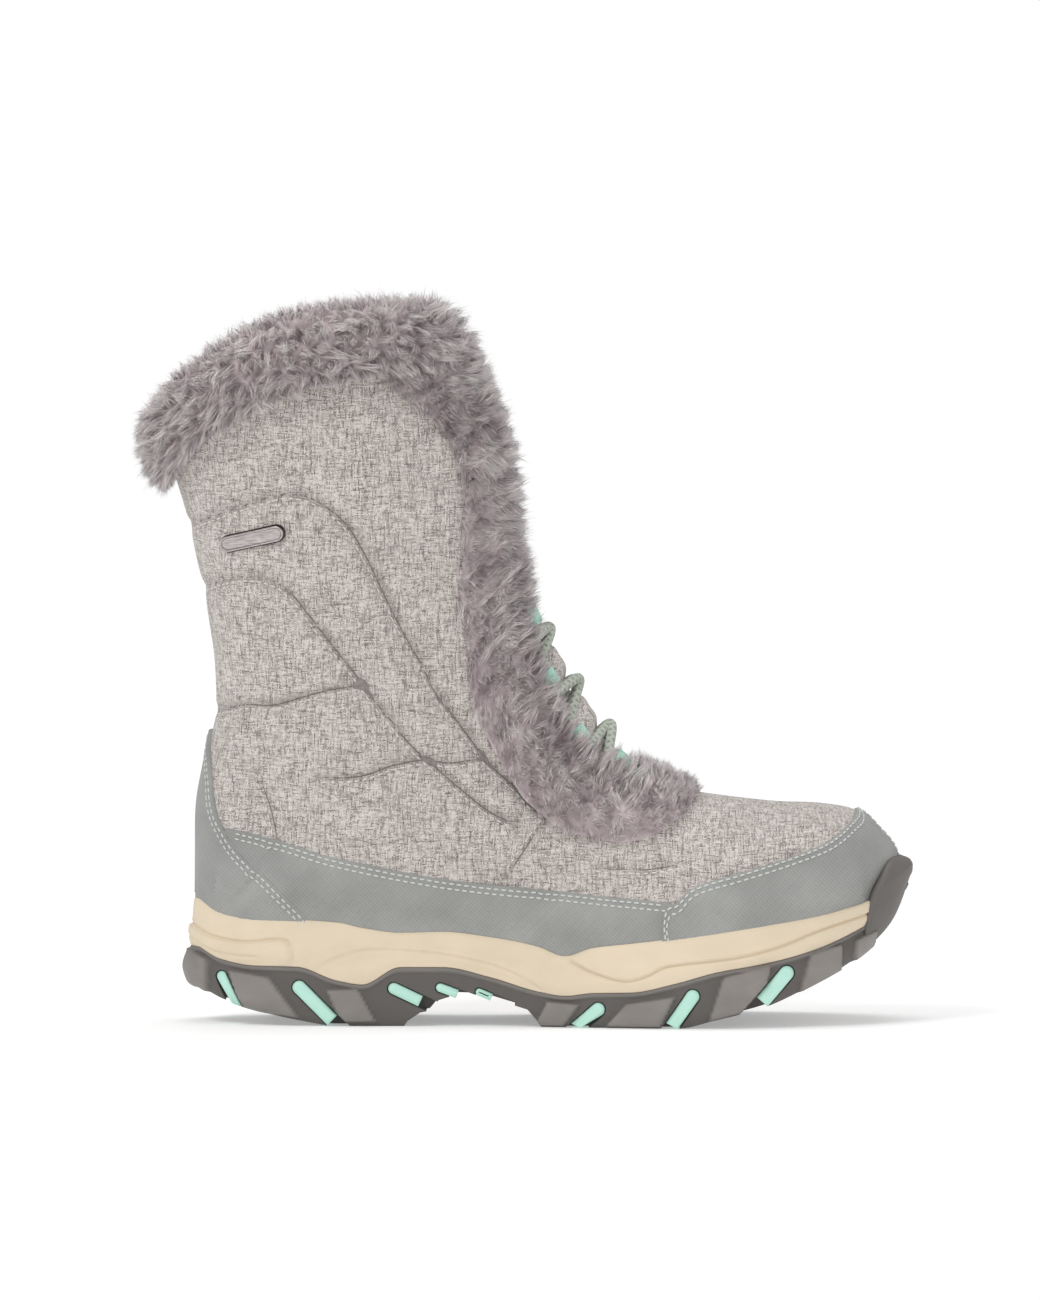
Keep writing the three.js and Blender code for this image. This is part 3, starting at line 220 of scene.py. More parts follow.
# Sections: ridge along, up, across, base along, up (none on the sole), outer, inner, widest, square
NONE = -9.0
SECTIONS = np.array([
    (1.002, 0.09, 0.092, 1.0, NONE, -0.092, 0.092, 0.5, 2.4),
    (0.9955, 0.108, 0.1, 0.995, NONE, 0.02, 0.2, 0.55, 2.4),
    (0.9785, 0.13, 0.104, 0.975, NONE, 0.162, 0.305, 0.58, 2.4),
    (0.9465, 0.162, 0.098, 0.935, NONE, 0.298, 0.392, 0.62, 2.4),
    (0.893, 0.173, 0.085, 0.88, NONE, 0.405, 0.456, 0.66, 2.4),
    (0.824, 0.178, 0.07, 0.81, NONE, 0.48, 0.493, 0.7, 2.3),
    (0.755, 0.185, 0.058, 0.735, NONE, 0.511, 0.491, 0.72, 2.2),
    (0.6865, 0.2, 0.052, 0.66, NONE, 0.5, 0.457, 0.74, 2.1),
    (0.625, 0.234, 0.048, 0.57, NONE, 0.453, 0.4, 0.74, 2.0),
    (0.572, 0.289, 0.042, 0.47, NONE, 0.412, 0.367, 0.7, 2.0),
    (0.533, 0.35, 0.032, 0.37, NONE, 0.4, 0.367, 0.6, 2.0),
    (0.501, 0.412, 0.022, 0.27, NONE, 0.399, 0.378, 0.5, 2.0),
    (0.475, 0.465, 0.016, 0.17, NONE, 0.404, 0.388, 0.47, 2.0),
    (0.456, 0.515, 0.01, 0.095, NONE, 0.406, 0.394, 0.46, 2.0),
    (0.444, 0.558, 0.006, 0.04, NONE, 0.409, 0.398, 0.46, 2.0),
    (0.437, 0.592, 0.003, 0.01, NONE, 0.41, 0.4, 0.47, 2.0),
    (0.433, 0.617, 0.0, 0.0, NONE, 0.41, 0.4, 0.47, 2.0),
    (0.431, 0.643, 0.0, -0.0005, 0.1, 0.411, 0.401, 0.48, 2.0),
    (0.429, 0.67, 0.0, 0.001, 0.18, 0.413, 0.403, 0.49, 2.0),
    (0.427, 0.694, 0.0, 0.0115, 0.247, 0.416, 0.406, 0.5, 2.0),
    (0.4235, 0.719, 0.0, 0.021, 0.311, 0.42, 0.411, 0.5, 2.0),
    (0.416, 0.757, 0.0, 0.0235, 0.4, 0.432, 0.424, 0.5, 2.0),
    (0.4, 0.813, 0.0, 0.006, 0.523, 0.457, 0.45, 0.5, 2.0),
    (0.3785, 0.872, 0.0, -0.015, 0.626, 0.478, 0.472, 0.5, 2.0),
    (0.35, 0.936, 0.0, -0.0405, 0.732, 0.492, 0.487, 0.5, 2.0),
    (0.312, 1.02, 0.0, -0.0615, 0.834, 0.5, 0.496, 0.5, 2.0),
    (0.278, 1.105, 0.0, -0.079, 0.925, 0.505, 0.502, 0.5, 2.0),
])
LAST_SECTION = len(SECTIONS) - 1
HEEL_SECTION = int(np.argmax(SECTIONS[:, 4] != NONE)) - 1
FEATHER_BLEND = 15.0


def upper_height(share):
    return SOLE_HEIGHT + np.asarray(share, float) * SHAFT_HEIGHT


def along_foot(share):
    return HEEL_OVERHANG + np.asarray(share, float) * FOOT_LENGTH


def section_curves():
    s = SECTIONS
    base_x = along_foot(s[:, 3])
    columns = {
        "ridge_x": along_foot(s[:, 0]),
        "ridge_y": s[:, 2] * BALL_WIDTH,
        "ridge_z": upper_height(s[:, 1]),
        "base_x": base_x,
        "base_z": np.where(s[:, 4] == NONE, seat_at(base_x), upper_height(s[:, 4])),
        "widest": s[:, 7],
        "square": s[:, 8],
    }
    curves = {}
    for name, values in columns.items():
        curves[name] = through(values, values[1], 2 * values[-1] - values[-2])
    outer, inner = s[:, 5] * BALL_WIDTH, s[:, 6] * BALL_WIDTH
    curves["outer"] = through(outer, -inner[1], outer[-1])
    curves["inner"] = through(inner, -outer[1], inner[-1])
    return curves


CURVES = section_curves()


def form(section, around):
    """Points of the upper's outer surface, as an array of X, Y and Z in the last axis."""
    section, around = np.broadcast_arrays(np.asarray(section, float), np.asarray(around, float))
    side = np.where(around < 0, -1.0, 1.0)
    a = np.abs(around)
    row = {name: f(section) for name, f in CURVES.items()}
    width = np.where(side < 0, -row["outer"], row["inner"])
    on_sole = section <= HEEL_SECTION
    base_z = np.where(on_sole, seat_at(row["base_x"]), row["base_z"])
    last_foot = CURVES["base_x"](HEEL_SECTION - 1.0)
    foot = outline_beside(side, np.maximum(row["base_x"], last_foot))
    foot = foot * (1 - smooth(section, HEEL_SECTION - 2.5, HEEL_SECTION))
    squarer = smooth(section, HEEL_SECTION - 1.5, HEEL_SECTION)
    squarer = squarer * (1 - smooth(section, HEEL_SECTION, HEEL_SECTION + 2))
    power = 2.0 / row["square"]
    low = np.clip(a, 0, 0.5) * math.pi
    turn = (np.clip(a, 0.5, 1.0) - 0.5) * math.pi
    above = a < 0.5
    upper_share = row["widest"] * (1 - np.clip(np.cos(low), 0, 1) ** power)
    share = np.where(above, upper_share, mix(row["widest"], 1.0, np.sin(turn)))
    y_above = mix(row["ridge_y"], width, np.clip(np.sin(low), 0, 1) ** power)
    y_below = mix(foot, width, np.clip(np.cos(turn), 0, 1) ** (1 - 0.2 * squarer))
    y = np.where(above, y_above, y_below)
    x = mix(row["ridge_x"], row["base_x"], share)
    z = mix(row["ridge_z"], base_z, share)
    feather = feather_at(x)
    y = mix(outline_beside(side, x), y, smooth(z, feather + 1, feather + FEATHER_BLEND))
    return np.stack([x, y, z], axis=-1)


def unit(v):
    return v / np.maximum(np.linalg.norm(v, axis=-1, keepdims=True), 1e-9)


def normal_at(section, around):
    section, around = np.broadcast_arrays(np.asarray(section, float), np.asarray(around, float))
    step = 0.01
    onward = form(np.minimum(LAST_SECTION, section + step), around)
    onward = onward - form(np.maximum(0, section - step), around)
    about = form(section, np.minimum(1, around + step)) - form(section, np.maximum(-1, around - step))
    normal = unit(np.cross(about, onward))
    seam = (section <= 0) | ((np.abs(around) >= 1) & (section >= HEEL_SECTION))
    flat = normal * np.array([1.0, 0.0, 1.0])
    return unit(np.where(seam[..., None], flat, normal))


def skin(section, around, out):
    """The upper's surface moved along its own normal."""
    out = np.asarray(out, float)
    return form(section, around) + normal_at(section, around) * out[..., None]


def place_of(points, side):
    """Section and place around for points of the side view, on one side."""
    target = np.asarray(points, float)
    sections, places = np.linspace(0.1, LAST_SECTION - 0.1, 140), np.linspace(0.01, 0.99, 60)
    net = np.meshgrid(sections, places, indexing="ij")
    at = form(net[0].ravel(), side * net[1].ravel())
    far = (at[None, :, 0] - target[:, None, 0]) ** 2 + (at[None, :, 2] - target[:, None, 1]) ** 2
    nearest = np.argmin(far, axis=1)
    section = net[0].ravel()[nearest]
    a = net[1].ravel()[nearest]
    for _ in range(25):
        at = form(section, side * a)
        by_s = (form(section + 0.01, side * a) - at) / 0.01
        by_a = (form(section, side * (a + 0.004)) - at) / 0.004
        scale = by_s[:, 0] * by_a[:, 2] - by_s[:, 2] * by_a[:, 0]
        scale = np.where(np.abs(scale) < 1.0, np.where(scale < 0, -1.0, 1.0), scale)
        dx, dz = target[:, 0] - at[:, 0], target[:, 1] - at[:, 2]
        move_s = np.clip((dx * by_a[:, 2] - dz * by_a[:, 0]) / scale, -0.4, 0.4)
        move_a = np.clip((by_s[:, 0] * dz - by_s[:, 2] * dx) / scale, -0.03, 0.03)
        section = np.clip(section + 0.6 * move_s, 0.0, LAST_SECTION - 0.05)
        a = np.clip(a + 0.6 * move_a, 0.0, 1.0)
    return section, side * a


# Meshes from arrays
# Every piece is made in local millimetres and stored in the row's metres, with its object at the origin.
def to_row(points):
    points = np.asarray(points, float)
    return (points + np.array([SHIFT_X, SHIFT_Y, 0.0])) * 0.001


def piece_of(name, points, faces, material, uv=None, tone=None, shade=True):
    """A mesh object from points and faces, which are an array of quads or triangles or a list of arrays."""
    groups = faces if isinstance(faces, list) else [faces]
    groups = [np.asarray(g, np.int64) for g in groups if len(g)]
    loops = np.concatenate([g.ravel() for g in groups])
    sizes = np.concatenate([np.full(len(g), g.shape[1]) for g in groups])
    mesh = bpy.data.meshes.new(name)
    mesh.vertices.add(len(points))
    mesh.vertices.foreach_set("co", to_row(points).astype(np.float32).ravel())
    mesh.loops.add(len(loops))
    mesh.loops.foreach_set("vertex_index", loops.astype(np.int32))
    mesh.polygons.add(len(sizes))
    starts = np.concatenate([[0], np.cumsum(sizes)[:-1]])
    mesh.polygons.foreach_set("loop_start", starts.astype(np.int32))
    mesh.polygons.foreach_set("loop_total", sizes.astype(np.int32))
    mesh.polygons.foreach_set("use_smooth", np.full(len(sizes), shade))
    if uv is not None:
        layer = mesh.uv_layers.new(name="UVMap")
        layer.data.foreach_set("uv", np.asarray(uv, np.float32)[loops].ravel())
    if tone is not None:
        attribute = mesh.attributes.new("tone", "FLOAT", "POINT")
        attribute.data.foreach_set("value", np.asarray(tone, np.float32))
    mesh.update(calc_edges=True)
    mesh.validate(verbose=False)
    obj = bpy.data.objects.new(name, mesh)
    bpy.context.scene.collection.objects.link(obj)
    obj.data.materials.append(material)
    return obj


def grid_faces(rows, columns, start=0, closed=False):
    """Quads of a grid of rows by columns, the columns joined round if closed."""
    across = columns if closed else columns - 1
    r, c = np.meshgrid(np.arange(rows - 1), np.arange(across), indexing="ij")
    d = (c + 1) % columns
    quads = [r * columns + c, r * columns + d, (r + 1) * columns + d, (r + 1) * columns + c]
    return np.stack(quads, axis=-1).reshape(-1, 4) + start


def edit_mesh(obj, *steps):
    """Runs mesh operators on the whole of one object, each given with its settings."""
    bpy.context.view_layer.objects.active = obj
    bpy.ops.object.select_all(action="DESELECT")
    obj.select_set(True)
    bpy.ops.object.mode_set(mode="EDIT")
    bpy.ops.mesh.select_all(action="SELECT")
    for step, settings in steps:
        step(**settings)
    bpy.ops.object.mode_set(mode="OBJECT")


def weld(obj, distance):
    edit_mesh(obj, (bpy.ops.mesh.remove_doubles, {"threshold": distance}))


OUTWARD = (bpy.ops.mesh.normals_make_consistent, {"inside": False})


def show_as(obj, nodes):
    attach(obj, "root")
    if nodes:
        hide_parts(*nodes)
    return obj


# Camera, light and floor
# The camera looks at the boot's outer side, two degrees from above, with a long lens and the photo's frame.
FRAME_HIGH = 490.4
FRAME_CENTRE = (127.1, 139.9)
CAMERA_FAR = 4.0
CAMERA_ELEVATION = math.radians(2.0)
SENSOR = 36.0
AMBIENT = 0.5


def aim(obj, target):
    away = obj.location - target
    obj.rotation_euler = away.to_track_quat("Z", "Y").to_euler()


def make_camera():
    scene = bpy.context.scene
    scene.render.resolution_x = 1040
    scene.render.resolution_y = 1300
    target = Vector(to_row([FRAME_CENTRE[0], -SHIFT_Y, FRAME_CENTRE[1]]))
    data = bpy.data.cameras.new("camera")
    data.sensor_width = SENSOR
    data.lens = SENSOR * CAMERA_FAR / (FRAME_HIGH * 0.001)
    data.clip_start = 0.1
    data.clip_end = 50.0
    camera = bpy.data.objects.new("camera", data)
    scene.collection.objects.link(camera)
    reach = Vector((0.0, -math.cos(CAMERA_ELEVATION), math.sin(CAMERA_ELEVATION)))
    camera.location = target + reach * CAMERA_FAR
    aim(camera, target)
    scene.camera = camera
    return target


def make_light(name, place, size, power, target):
    data = bpy.data.lights.new(name, "AREA")
    data.shape = "SQUARE"
    data.size = size
    data.energy = power
    obj = bpy.data.objects.new(name, data)
    bpy.context.scene.collection.objects.link(obj)
    obj.location = place
    aim(obj, target)


def socket_value(node, key, value):
    if isinstance(value, bpy.types.NodeSocket):
        node.id_data.links.new(value, node.inputs[key])
    else:
        node.inputs[key].default_value = value


def add(tree, kind, inputs=None, **settings):
    """A shader node with its settings, and its inputs linked or set."""
    node = tree.nodes.new(kind)
    for name, value in settings.items():
        setattr(node, name, value)
    for key, value in (inputs or {}).items():
        socket_value(node, key, value)
    return node


def maths(tree, operation, a, b=0.0, c=0.0):
    return add(tree, "ShaderNodeMath", {0: a, 1: b, 2: c}, operation=operation).outputs[0]


def linear(red, green, blue):
    """A display colour from 0 to 255 as linear light."""
    values = [v / 255.0 for v in (red, green, blue)]
    values = [v / 12.92 if v <= 0.04045 else ((v + 0.055) / 1.055) ** 2.4 for v in values]
    return (*values, 1.0)


def new_material(name, roughness=0.8, metallic=0.0, colour=None, **inputs):
    material = bpy.data.materials.new(name)
    material.use_nodes = True
    shader = material.node_tree.nodes["Principled BSDF"]
    shader.inputs["Roughness"].default_value = roughness
    shader.inputs["Metallic"].default_value = metallic
    if colour is not None:
        shader.inputs["Base Color"].default_value = colour
    for key, value in inputs.items():
        shader.inputs[key.replace("_", " ")].default_value = value
    return material, material.node_tree, shader


def bump(tree, shader, height, distance, strength=1.0, normal=None):
    """A bump of a height from 0 to 1 that stands for `distance` metres."""
    inputs = {"Height": height, "Distance": distance, "Strength": strength}
    if normal is not None:
        inputs["Normal"] = normal
    node = add(tree, "ShaderNodeBump", inputs)
    tree.links.new(node.outputs[0], shader.inputs["Normal"])


def ramp(tree, factor, stops):
    node = add(tree, "ShaderNodeValToRGB", {"Fac": factor})
    band = node.color_ramp
    while len(band.elements) < len(stops):
        band.elements.new(0.5)
    for element, (place, colour) in zip(band.elements, stops):
        element.position = place
        element.color = colour
    return node.outputs["Color"]


def tone_of(tree):
    """The tone that a mesh carries at its points."""
    return add(tree, "ShaderNodeAttribute", attribute_name="tone").outputs["Fac"]


def toned(tree, plain, full):
    """A colour that goes from one to another with the mesh's tone."""
    inputs = {"Factor": tone_of(tree), "A": plain, "B": full}
    return add(tree, "ShaderNodeMix", inputs, data_type="RGBA").outputs["Result"]


def scaled(colour, factor):
    return tuple(min(1.0, c * factor) for c in colour[:3]) + (1.0,)


def wave_of(tree, value, factor):
    return maths(tree, "SINE", maths(tree, "MULTIPLY", value, factor))


def uv_of(tree):
    uv = add(tree, "ShaderNodeTexCoord").outputs["UV"]
    return add(tree, "ShaderNodeSeparateXYZ", {0: uv}).outputs


def make_stage():
    target = make_camera()
    bpy.ops.mesh.primitive_plane_add(size=12.0, location=(0, 0, 0))
    floor = bpy.context.object
    floor.name = "floor"
    bpy.ops.object.transform_apply(location=True, rotation=True, scale=True)
    material, tree, shader = new_material("floor", 0.9)
    shader.inputs["Specular IOR Level"].default_value = 0.05
    place = add(tree, "ShaderNodeTexCoord").outputs["Object"]
    far = add(tree, "ShaderNodeVectorMath", {0: place}, operation="LENGTH").outputs["Value"]
    fade = add(tree, "ShaderNodeMapRange", {"Value": far, "From Min": 0.16, "From Max": 0.6},
               interpolation_type="SMOOTHSTEP").outputs["Result"]
    grey = maths(tree, "MULTIPLY_ADD", fade, -0.84, 0.84)
    tree.links.new(add(tree, "ShaderNodeCombineXYZ", {0: grey, 1: grey, 2: grey}).outputs[0],
                   shader.inputs["Base Color"])
    shader.inputs["Emission Color"].default_value = (1.0, 1.0, 1.0, 1.0)
    tree.links.new(maths(tree, "MULTIPLY_ADD", fade, 0.72, 0.3), shader.inputs["Emission Strength"])
    floor.data.materials.append(material)
    world = bpy.data.worlds.new("studio")
    bpy.context.scene.world = world
    world.use_nodes = True
    background = world.node_tree.nodes["Background"]
    background.inputs["Color"].default_value = (1.0, 1.0, 1.0, 1.0)
    seen = add(world.node_tree, "ShaderNodeLightPath").outputs["Is Camera Ray"]
    strength = maths(world.node_tree, "MULTIPLY_ADD", seen, 1.0 - AMBIENT, AMBIENT)
    world.node_tree.links.new(strength, background.inputs["Strength"])
    make_light("key", (-1.1, -1.3, 1.7), 0.8, 19.0, target)
    make_light("side", (1.5, -1.0, 0.6), 0.9, 3.5, target)
    make_light("top", (0.1, 0.4, 1.9), 1.0, 11.0, target)
    view = bpy.context.scene.view_settings
    view.view_transform = "Standard"
    view.look = "None"
    view.exposure = 0.0


make_stage()


# Materials that several pieces share
# Patterns follow millimetres of the object, taken across whichever way the surface faces.
def facing_group():
    """A node group that gives flat pattern coordinates, in millimetres, over a curved surface."""
    group = bpy.data.node_groups.new("facing_millimetres", "ShaderNodeTree")
    group.interface.new_socket("U", in_out="OUTPUT", socket_type="NodeSocketFloat")
    group.interface.new_socket("V", in_out="OUTPUT", socket_type="NodeSocketFloat")
    out = group.nodes.new("NodeGroupOutput")
    place = add(group, "ShaderNodeTexCoord")
    xyz = add(group, "ShaderNodeSeparateXYZ", {0: place.outputs["Object"]})
    normal = add(group, "ShaderNodeNewGeometry")
    facing = add(group, "ShaderNodeSeparateXYZ", {0: normal.outputs["True Normal"]})
    endways = maths(group, "GREATER_THAN", maths(group, "ABSOLUTE", facing.outputs[0]), 0.74)
    upwards = maths(group, "GREATER_THAN", maths(group, "ABSOLUTE", facing.outputs[2]), 0.8)
    pick = []
    for axis, choice in ((0, endways), (2, upwards)):
        other = maths(group, "SUBTRACT", xyz.outputs[1], xyz.outputs[axis])
        value = maths(group, "MULTIPLY_ADD", other, choice, xyz.outputs[axis])
        pick.append(maths(group, "MULTIPLY", value, 1000.0))
    group.links.new(pick[0], out.inputs[0])
    group.links.new(pick[1], out.inputs[1])
    return group


FACING = facing_group()


def facing(tree):
    node = add(tree, "ShaderNodeGroup", node_tree=FACING)
    return node.outputs[0], node.outputs[1]


def noise(tree, u, v, across, along, detail=2.0, rough=0.5, w=0.0):
    """Noise whose grain is 1/across mm wide and 1/along mm high."""
    vector = add(tree, "ShaderNodeCombineXYZ", {
        0: maths(tree, "MULTIPLY", u, across),
        1: maths(tree, "MULTIPLY", v, along),
        2: w,
    }).outputs[0]
    inputs = {"Vector": vector, "Scale": 1.0, "Detail": detail, "Roughness": rough}
    return add(tree, "ShaderNodeTexNoise", inputs, noise_dimensions="3D").outputs["Fac"]


def woven_material(name, dark, middle, light, thread=0.46):
    """Heathered cloth: each thread of warp and weft has its own slubs, crossing in a plain weave."""
    material, tree, shader = new_material(name, 0.92, **{"Sheen_Weight": 0.25, "Sheen_Roughness": 0.6})
    shader.inputs["Specular IOR Level"].default_value = 0.15
    u, v = facing(tree)
    bow = noise(tree, u, v, 0.05, 0.05, 1.0, 0.5, 2.0)
    across = maths(tree, "DIVIDE", maths(tree, "MULTIPLY_ADD", bow, 3.0, u), thread)
    along = maths(tree, "DIVIDE", maths(tree, "MULTIPLY_ADD", bow, 3.0, v), thread)
    column = maths(tree, "FLOOR", across)
    row = maths(tree, "FLOOR", along)
    weft = noise(tree, u, row, 0.2, 7.31, 2.0, 0.6)
    warp = noise(tree, column, v, 7.31, 0.2, 2.0, 0.6, 9.3)
    parity = maths(tree, "MODULO", maths(tree, "ABSOLUTE", maths(tree, "ADD", column, row)), 2.0)
    over = maths(tree, "GREATER_THAN", parity, 0.5)
    fleck = maths(tree, "MULTIPLY_ADD", maths(tree, "SUBTRACT", warp, weft), over, weft)
    darker = maths(tree, "MINIMUM", weft, warp)
    grain = noise(tree, column, row, 3.71, 5.37, 1.0, 0.5, 4.1)
    fleck = maths(tree, "MULTIPLY_ADD", fleck, 0.45, maths(tree, "MULTIPLY", darker, 0.25))
    fleck = maths(tree, "MULTIPLY_ADD", grain, 0.3, fleck)
    colour = ramp(tree, fleck, [(0.37, dark), (0.44, middle), (0.5, light), (0.57, linear(228, 221, 215))])
    # The mesh's tone paints shade into the seams: the cloth goes towards a dark grey there.
    tree.links.new(toned(tree, colour, linear(92, 86, 82)), shader.inputs["Base Color"])
    su = maths(tree, "ABSOLUTE", wave_of(tree, across, math.pi))
    sv = maths(tree, "ABSOLUTE", wave_of(tree, along, math.pi))
    ridge = maths(tree, "MULTIPLY_ADD", maths(tree, "SUBTRACT", su, sv), over, sv)
    height = maths(tree, "ADD", maths(tree, "MULTIPLY", ridge, 0.6), maths(tree, "MULTIPLY", fleck, 0.9))
    bump(tree, shader, height, 0.00022, 0.8)
    return material


def embossed_material(name, colour, pitch=0.8):
    """Matt synthetic with a fine slanted emboss."""
    material, tree, shader = new_material(name, 0.6)
    shader.inputs["Specular IOR Level"].default_value = 0.35
    u, v = facing(tree)
    rows = wave_of(tree, maths(tree, "ADD", u, v), math.pi / pitch)
    steps = wave_of(tree, maths(tree, "SUBTRACT", u, v), math.pi / (2.2 * pitch))
    grain = noise(tree, u, v, 1.4, 1.4, 2.0)
    height = maths(tree, "MULTIPLY_ADD", rows, maths(tree, "MULTIPLY_ADD", steps, 0.3, 0.7), grain)
    broad = noise(tree, u, v, 0.05, 0.05, 2.0, 0.5, 3.0)
    # Broad random tone, plus painted shade that darkens the emboss's grooves along its rows.
    shade = maths(tree, "ADD", maths(tree, "MULTIPLY", broad, 0.5), maths(tree, "MULTIPLY", rows, 0.05))
    stops = [(0.12, scaled(colour, 0.82)), (0.4, scaled(colour, 1.14))]
    tree.links.new(ramp(tree, shade, stops), shader.inputs["Base Color"])
    bump(tree, shader, height, 0.00009, 0.9)
    return material


def moulded_material(name, colour, roughness, grain=0.00006, edge=0.0, spread=0.1, recess_shade=None):
    """Rubber or foam with a fine moulded grain, edges rounded in the shading and maybe painted shade in its
    recesses, by the mesh's tone.
    """
    material, tree, shader = new_material(name, roughness)
    shader.inputs["Specular IOR Level"].default_value = 0.35
    u, v = facing(tree)
    fine = noise(tree, u, v, 1.6, 1.6, 3.0, 0.6)
    broad = noise(tree, u, v, 0.045, 0.06, 3.0, 0.6, 6.0)
    colour = ramp(tree, broad, [(0.35, scaled(colour, 1 - spread)), (0.65, scaled(colour, 1 + spread))])
    if recess_shade is not None:
        colour = toned(tree, recess_shade, colour)
    tree.links.new(colour, shader.inputs["Base Color"])
    normal = None
    if edge > 0.0:
        normal = add(tree, "ShaderNodeBevel", {"Radius": edge}, samples=4).outputs[0]
    bump(tree, shader, fine, grain, 1.0, normal)
    return material


FABRIC = woven_material("heathered_fabric", linear(122, 113, 108), linear(168, 159, 153),
                        linear(202, 194, 188))
SYNTHETIC = embossed_material("embossed_synthetic", linear(158, 159, 156))
# The rubber's recess colour is painted shade, laid on by each mesh's tone.
RUBBER = moulded_material("outsole_rubber", linear(140, 135, 131), 0.62, 0.00008, 0.0005,
                          recess_shade=linear(98, 94, 91))
MINT = moulded_material("lug_rubber", linear(192, 236, 221), 0.5, 0.00004, 0.0004, 0.04)
FOAM = moulded_material("midsole_foam", linear(227, 211, 186), 0.65, 0.00006, 0.0, 0.03)
THREAD, _, _ = new_material("stitch_thread", 0.7, colour=linear(208, 210, 206))
# A dark cord material that paints the shadow in the bottom of the seams.
SEAM_SHADOW_CORD, _, _ = new_material("seam_shadow_cord", 0.8, colour=linear(126, 117, 111))


# Upper
# One shell in two halves that part at the throat: quilted outside, lined inside, with rolled edges.
# The throat by section: half its opening, then the pile trim's inner and outer edge, as places around
THROAT = np.array([
    (7.6, 0.0, 0.0, 0.3),
    (7.75, 0.07, 0.045, 0.312),
    (8.0, 0.13, 0.095, 0.325),
    (8.4, 0.19, 0.15, 0.345),
    (9.0, 0.235, 0.195, 0.37),
    (10.0, 0.25, 0.215, 0.39),
    (11.0, 0.23, 0.185, 0.385),
    (12.0, 0.19, 0.13, 0.355),
    (13.0, 0.165, 0.075, 0.31),
    (14.0, 0.158, 0.035, 0.28),
    (16.0, 0.158, 0.03, 0.255),
    (20.0, 0.155, 0.03, 0.225),
    (23.0, 0.15, 0.03, 0.205),
    (25.0, 0.15, 0.03, 0.2),
])
throat_edge, trim_inner, trim_outer = [curve(THROAT[:, 0], THROAT[:, k]) for k in (1, 2, 3)]
THROAT_TIP = THROAT[0, 0]
# The collar's edge in the side view: along the foot, up the shaft
COLLAR = np.array([
    (-0.12, 0.7),
    (-0.055, 0.78),
    (-0.033, 0.82),
    (0.0, 0.855),
    (0.036, 0.885),
    (0.082, 0.913),
    (0.136, 0.936),
    (0.193, 0.947),
    (0.254, 0.951),
    (0.312, 0.951),
    (0.36, 0.945),
])
collar_at = curve(along_foot(COLLAR[:, 0]), upper_height(COLLAR[:, 1]))


def on_collar(around):
    """The section at which each place around meets the collar's edge."""
    around = np.asarray(around, float)
    low = np.full(around.shape, 21.0)
    high = np.full(around.shape, float(LAST_SECTION))
    for _ in range(26):
        half = (low + high) / 2
        p = form(half, around)
        below = p[..., 2] < collar_at(p[..., 0])
        low = np.where(below, half, low)
        high = np.where(below, high, half)
    return (low + high) / 2


# Quilted seams in the side view: along the foot, up the shaft
SEAMS = {
    "upper_arc": [(-0.03, 0.622), (-0.017, 0.626), (0.04, 0.65), (0.083, 0.665), (0.121, 0.677),
                  (0.156, 0.673), (0.187, 0.655), (0.212, 0.632), (0.229, 0.605), (0.25, 0.562),
                  (0.271, 0.512), (0.295, 0.46), (0.32, 0.411), (0.341, 0.364), (0.376, 0.313),
                  (0.418, 0.251), (0.46, 0.208), (0.485, 0.177)],
    "lower_arc": [(-0.01, 0.522), (0.004, 0.527), (0.04, 0.541), (0.076, 0.545), (0.111, 0.535),
                  (0.138, 0.512), (0.167, 0.472), (0.198, 0.43), (0.229, 0.387), (0.257, 0.344),
                  (0.278, 0.317), (0.306, 0.278), (0.341, 0.243), (0.376, 0.209), (0.418, 0.173),
                  (0.453, 0.154)],
    "ankle": [(0.01, 0.326), (0.029, 0.332), (0.065, 0.342), (0.104, 0.342), (0.145, 0.354),
              (0.187, 0.366), (0.236, 0.375)],
    "quarter": [(0.177, 0.226), (0.233, 0.229), (0.278, 0.246), (0.324, 0.255), (0.362, 0.251),
                (0.408, 0.258)],
    "heel_line": [(0.091, 0.22), (0.104, 0.177), (0.114, 0.127)],
    "vamp_joint": [(0.498, 0.159), (0.473, 0.121), (0.441, 0.069)],
    "vamp_line": [(0.569, 0.085), (0.598, 0.082), (0.644, 0.082), (0.691, 0.09)],
}
SEAM_DEPTH = {"upper_arc": 1.9, "lower_arc": 1.8, "ankle": 1.8, "quarter": 1.5, "heel_line": 0.8,
              "vamp_joint": 1.3, "vamp_line": 0.5}


def side_points(rows):
    rows = np.asarray(rows, float)
    return np.stack([along_foot(rows[:, 0]), upper_height(rows[:, 1])], axis=-1)


def resampled(points, spacing):
    """The same line with points an even distance apart, rounded through its corners."""
    points = np.asarray(points, float)
    n = len(points)
    dense = rounded(points, np.linspace(0, n - 1, 60 * n))
    run = run_of(dense)
    at = np.linspace(0, run[-1], max(2, int(round(run[-1] / spacing)) + 1))
    return looked_up(at, run, dense)


def distance_to(line, x, z):
    """Distance from side-view points to a line, how far along it that is, and the side as a sign."""
    best = np.full(x.shape, 1e9)
    where = np.zeros(x.shape)
    sign = np.zeros(x.shape)
    run = 0.0
    for (x0, z0), (x1, z1) in zip(line[:-1], line[1:]):
        dx, dz = x1 - x0, z1 - z0
        length = math.hypot(dx, dz)
        t = np.clip(((x - x0) * dx + (z - z0) * dz) / length**2, 0, 1)
        rx, rz = x - x0 - t * dx, z - z0 - t * dz
        d = np.hypot(rx, rz)
        nearer = d < best
        best = np.where(nearer, d, best)
        where = np.where(nearer, run + t * length, where)
        sign = np.where(nearer, np.sign(dx * rz - dz * rx), sign)
        run += length
    return best, where, sign


SEAM_LINES = {name: resampled(side_points(rows), 3.0) for name, rows in SEAMS.items()}
PUCKER = 6.5


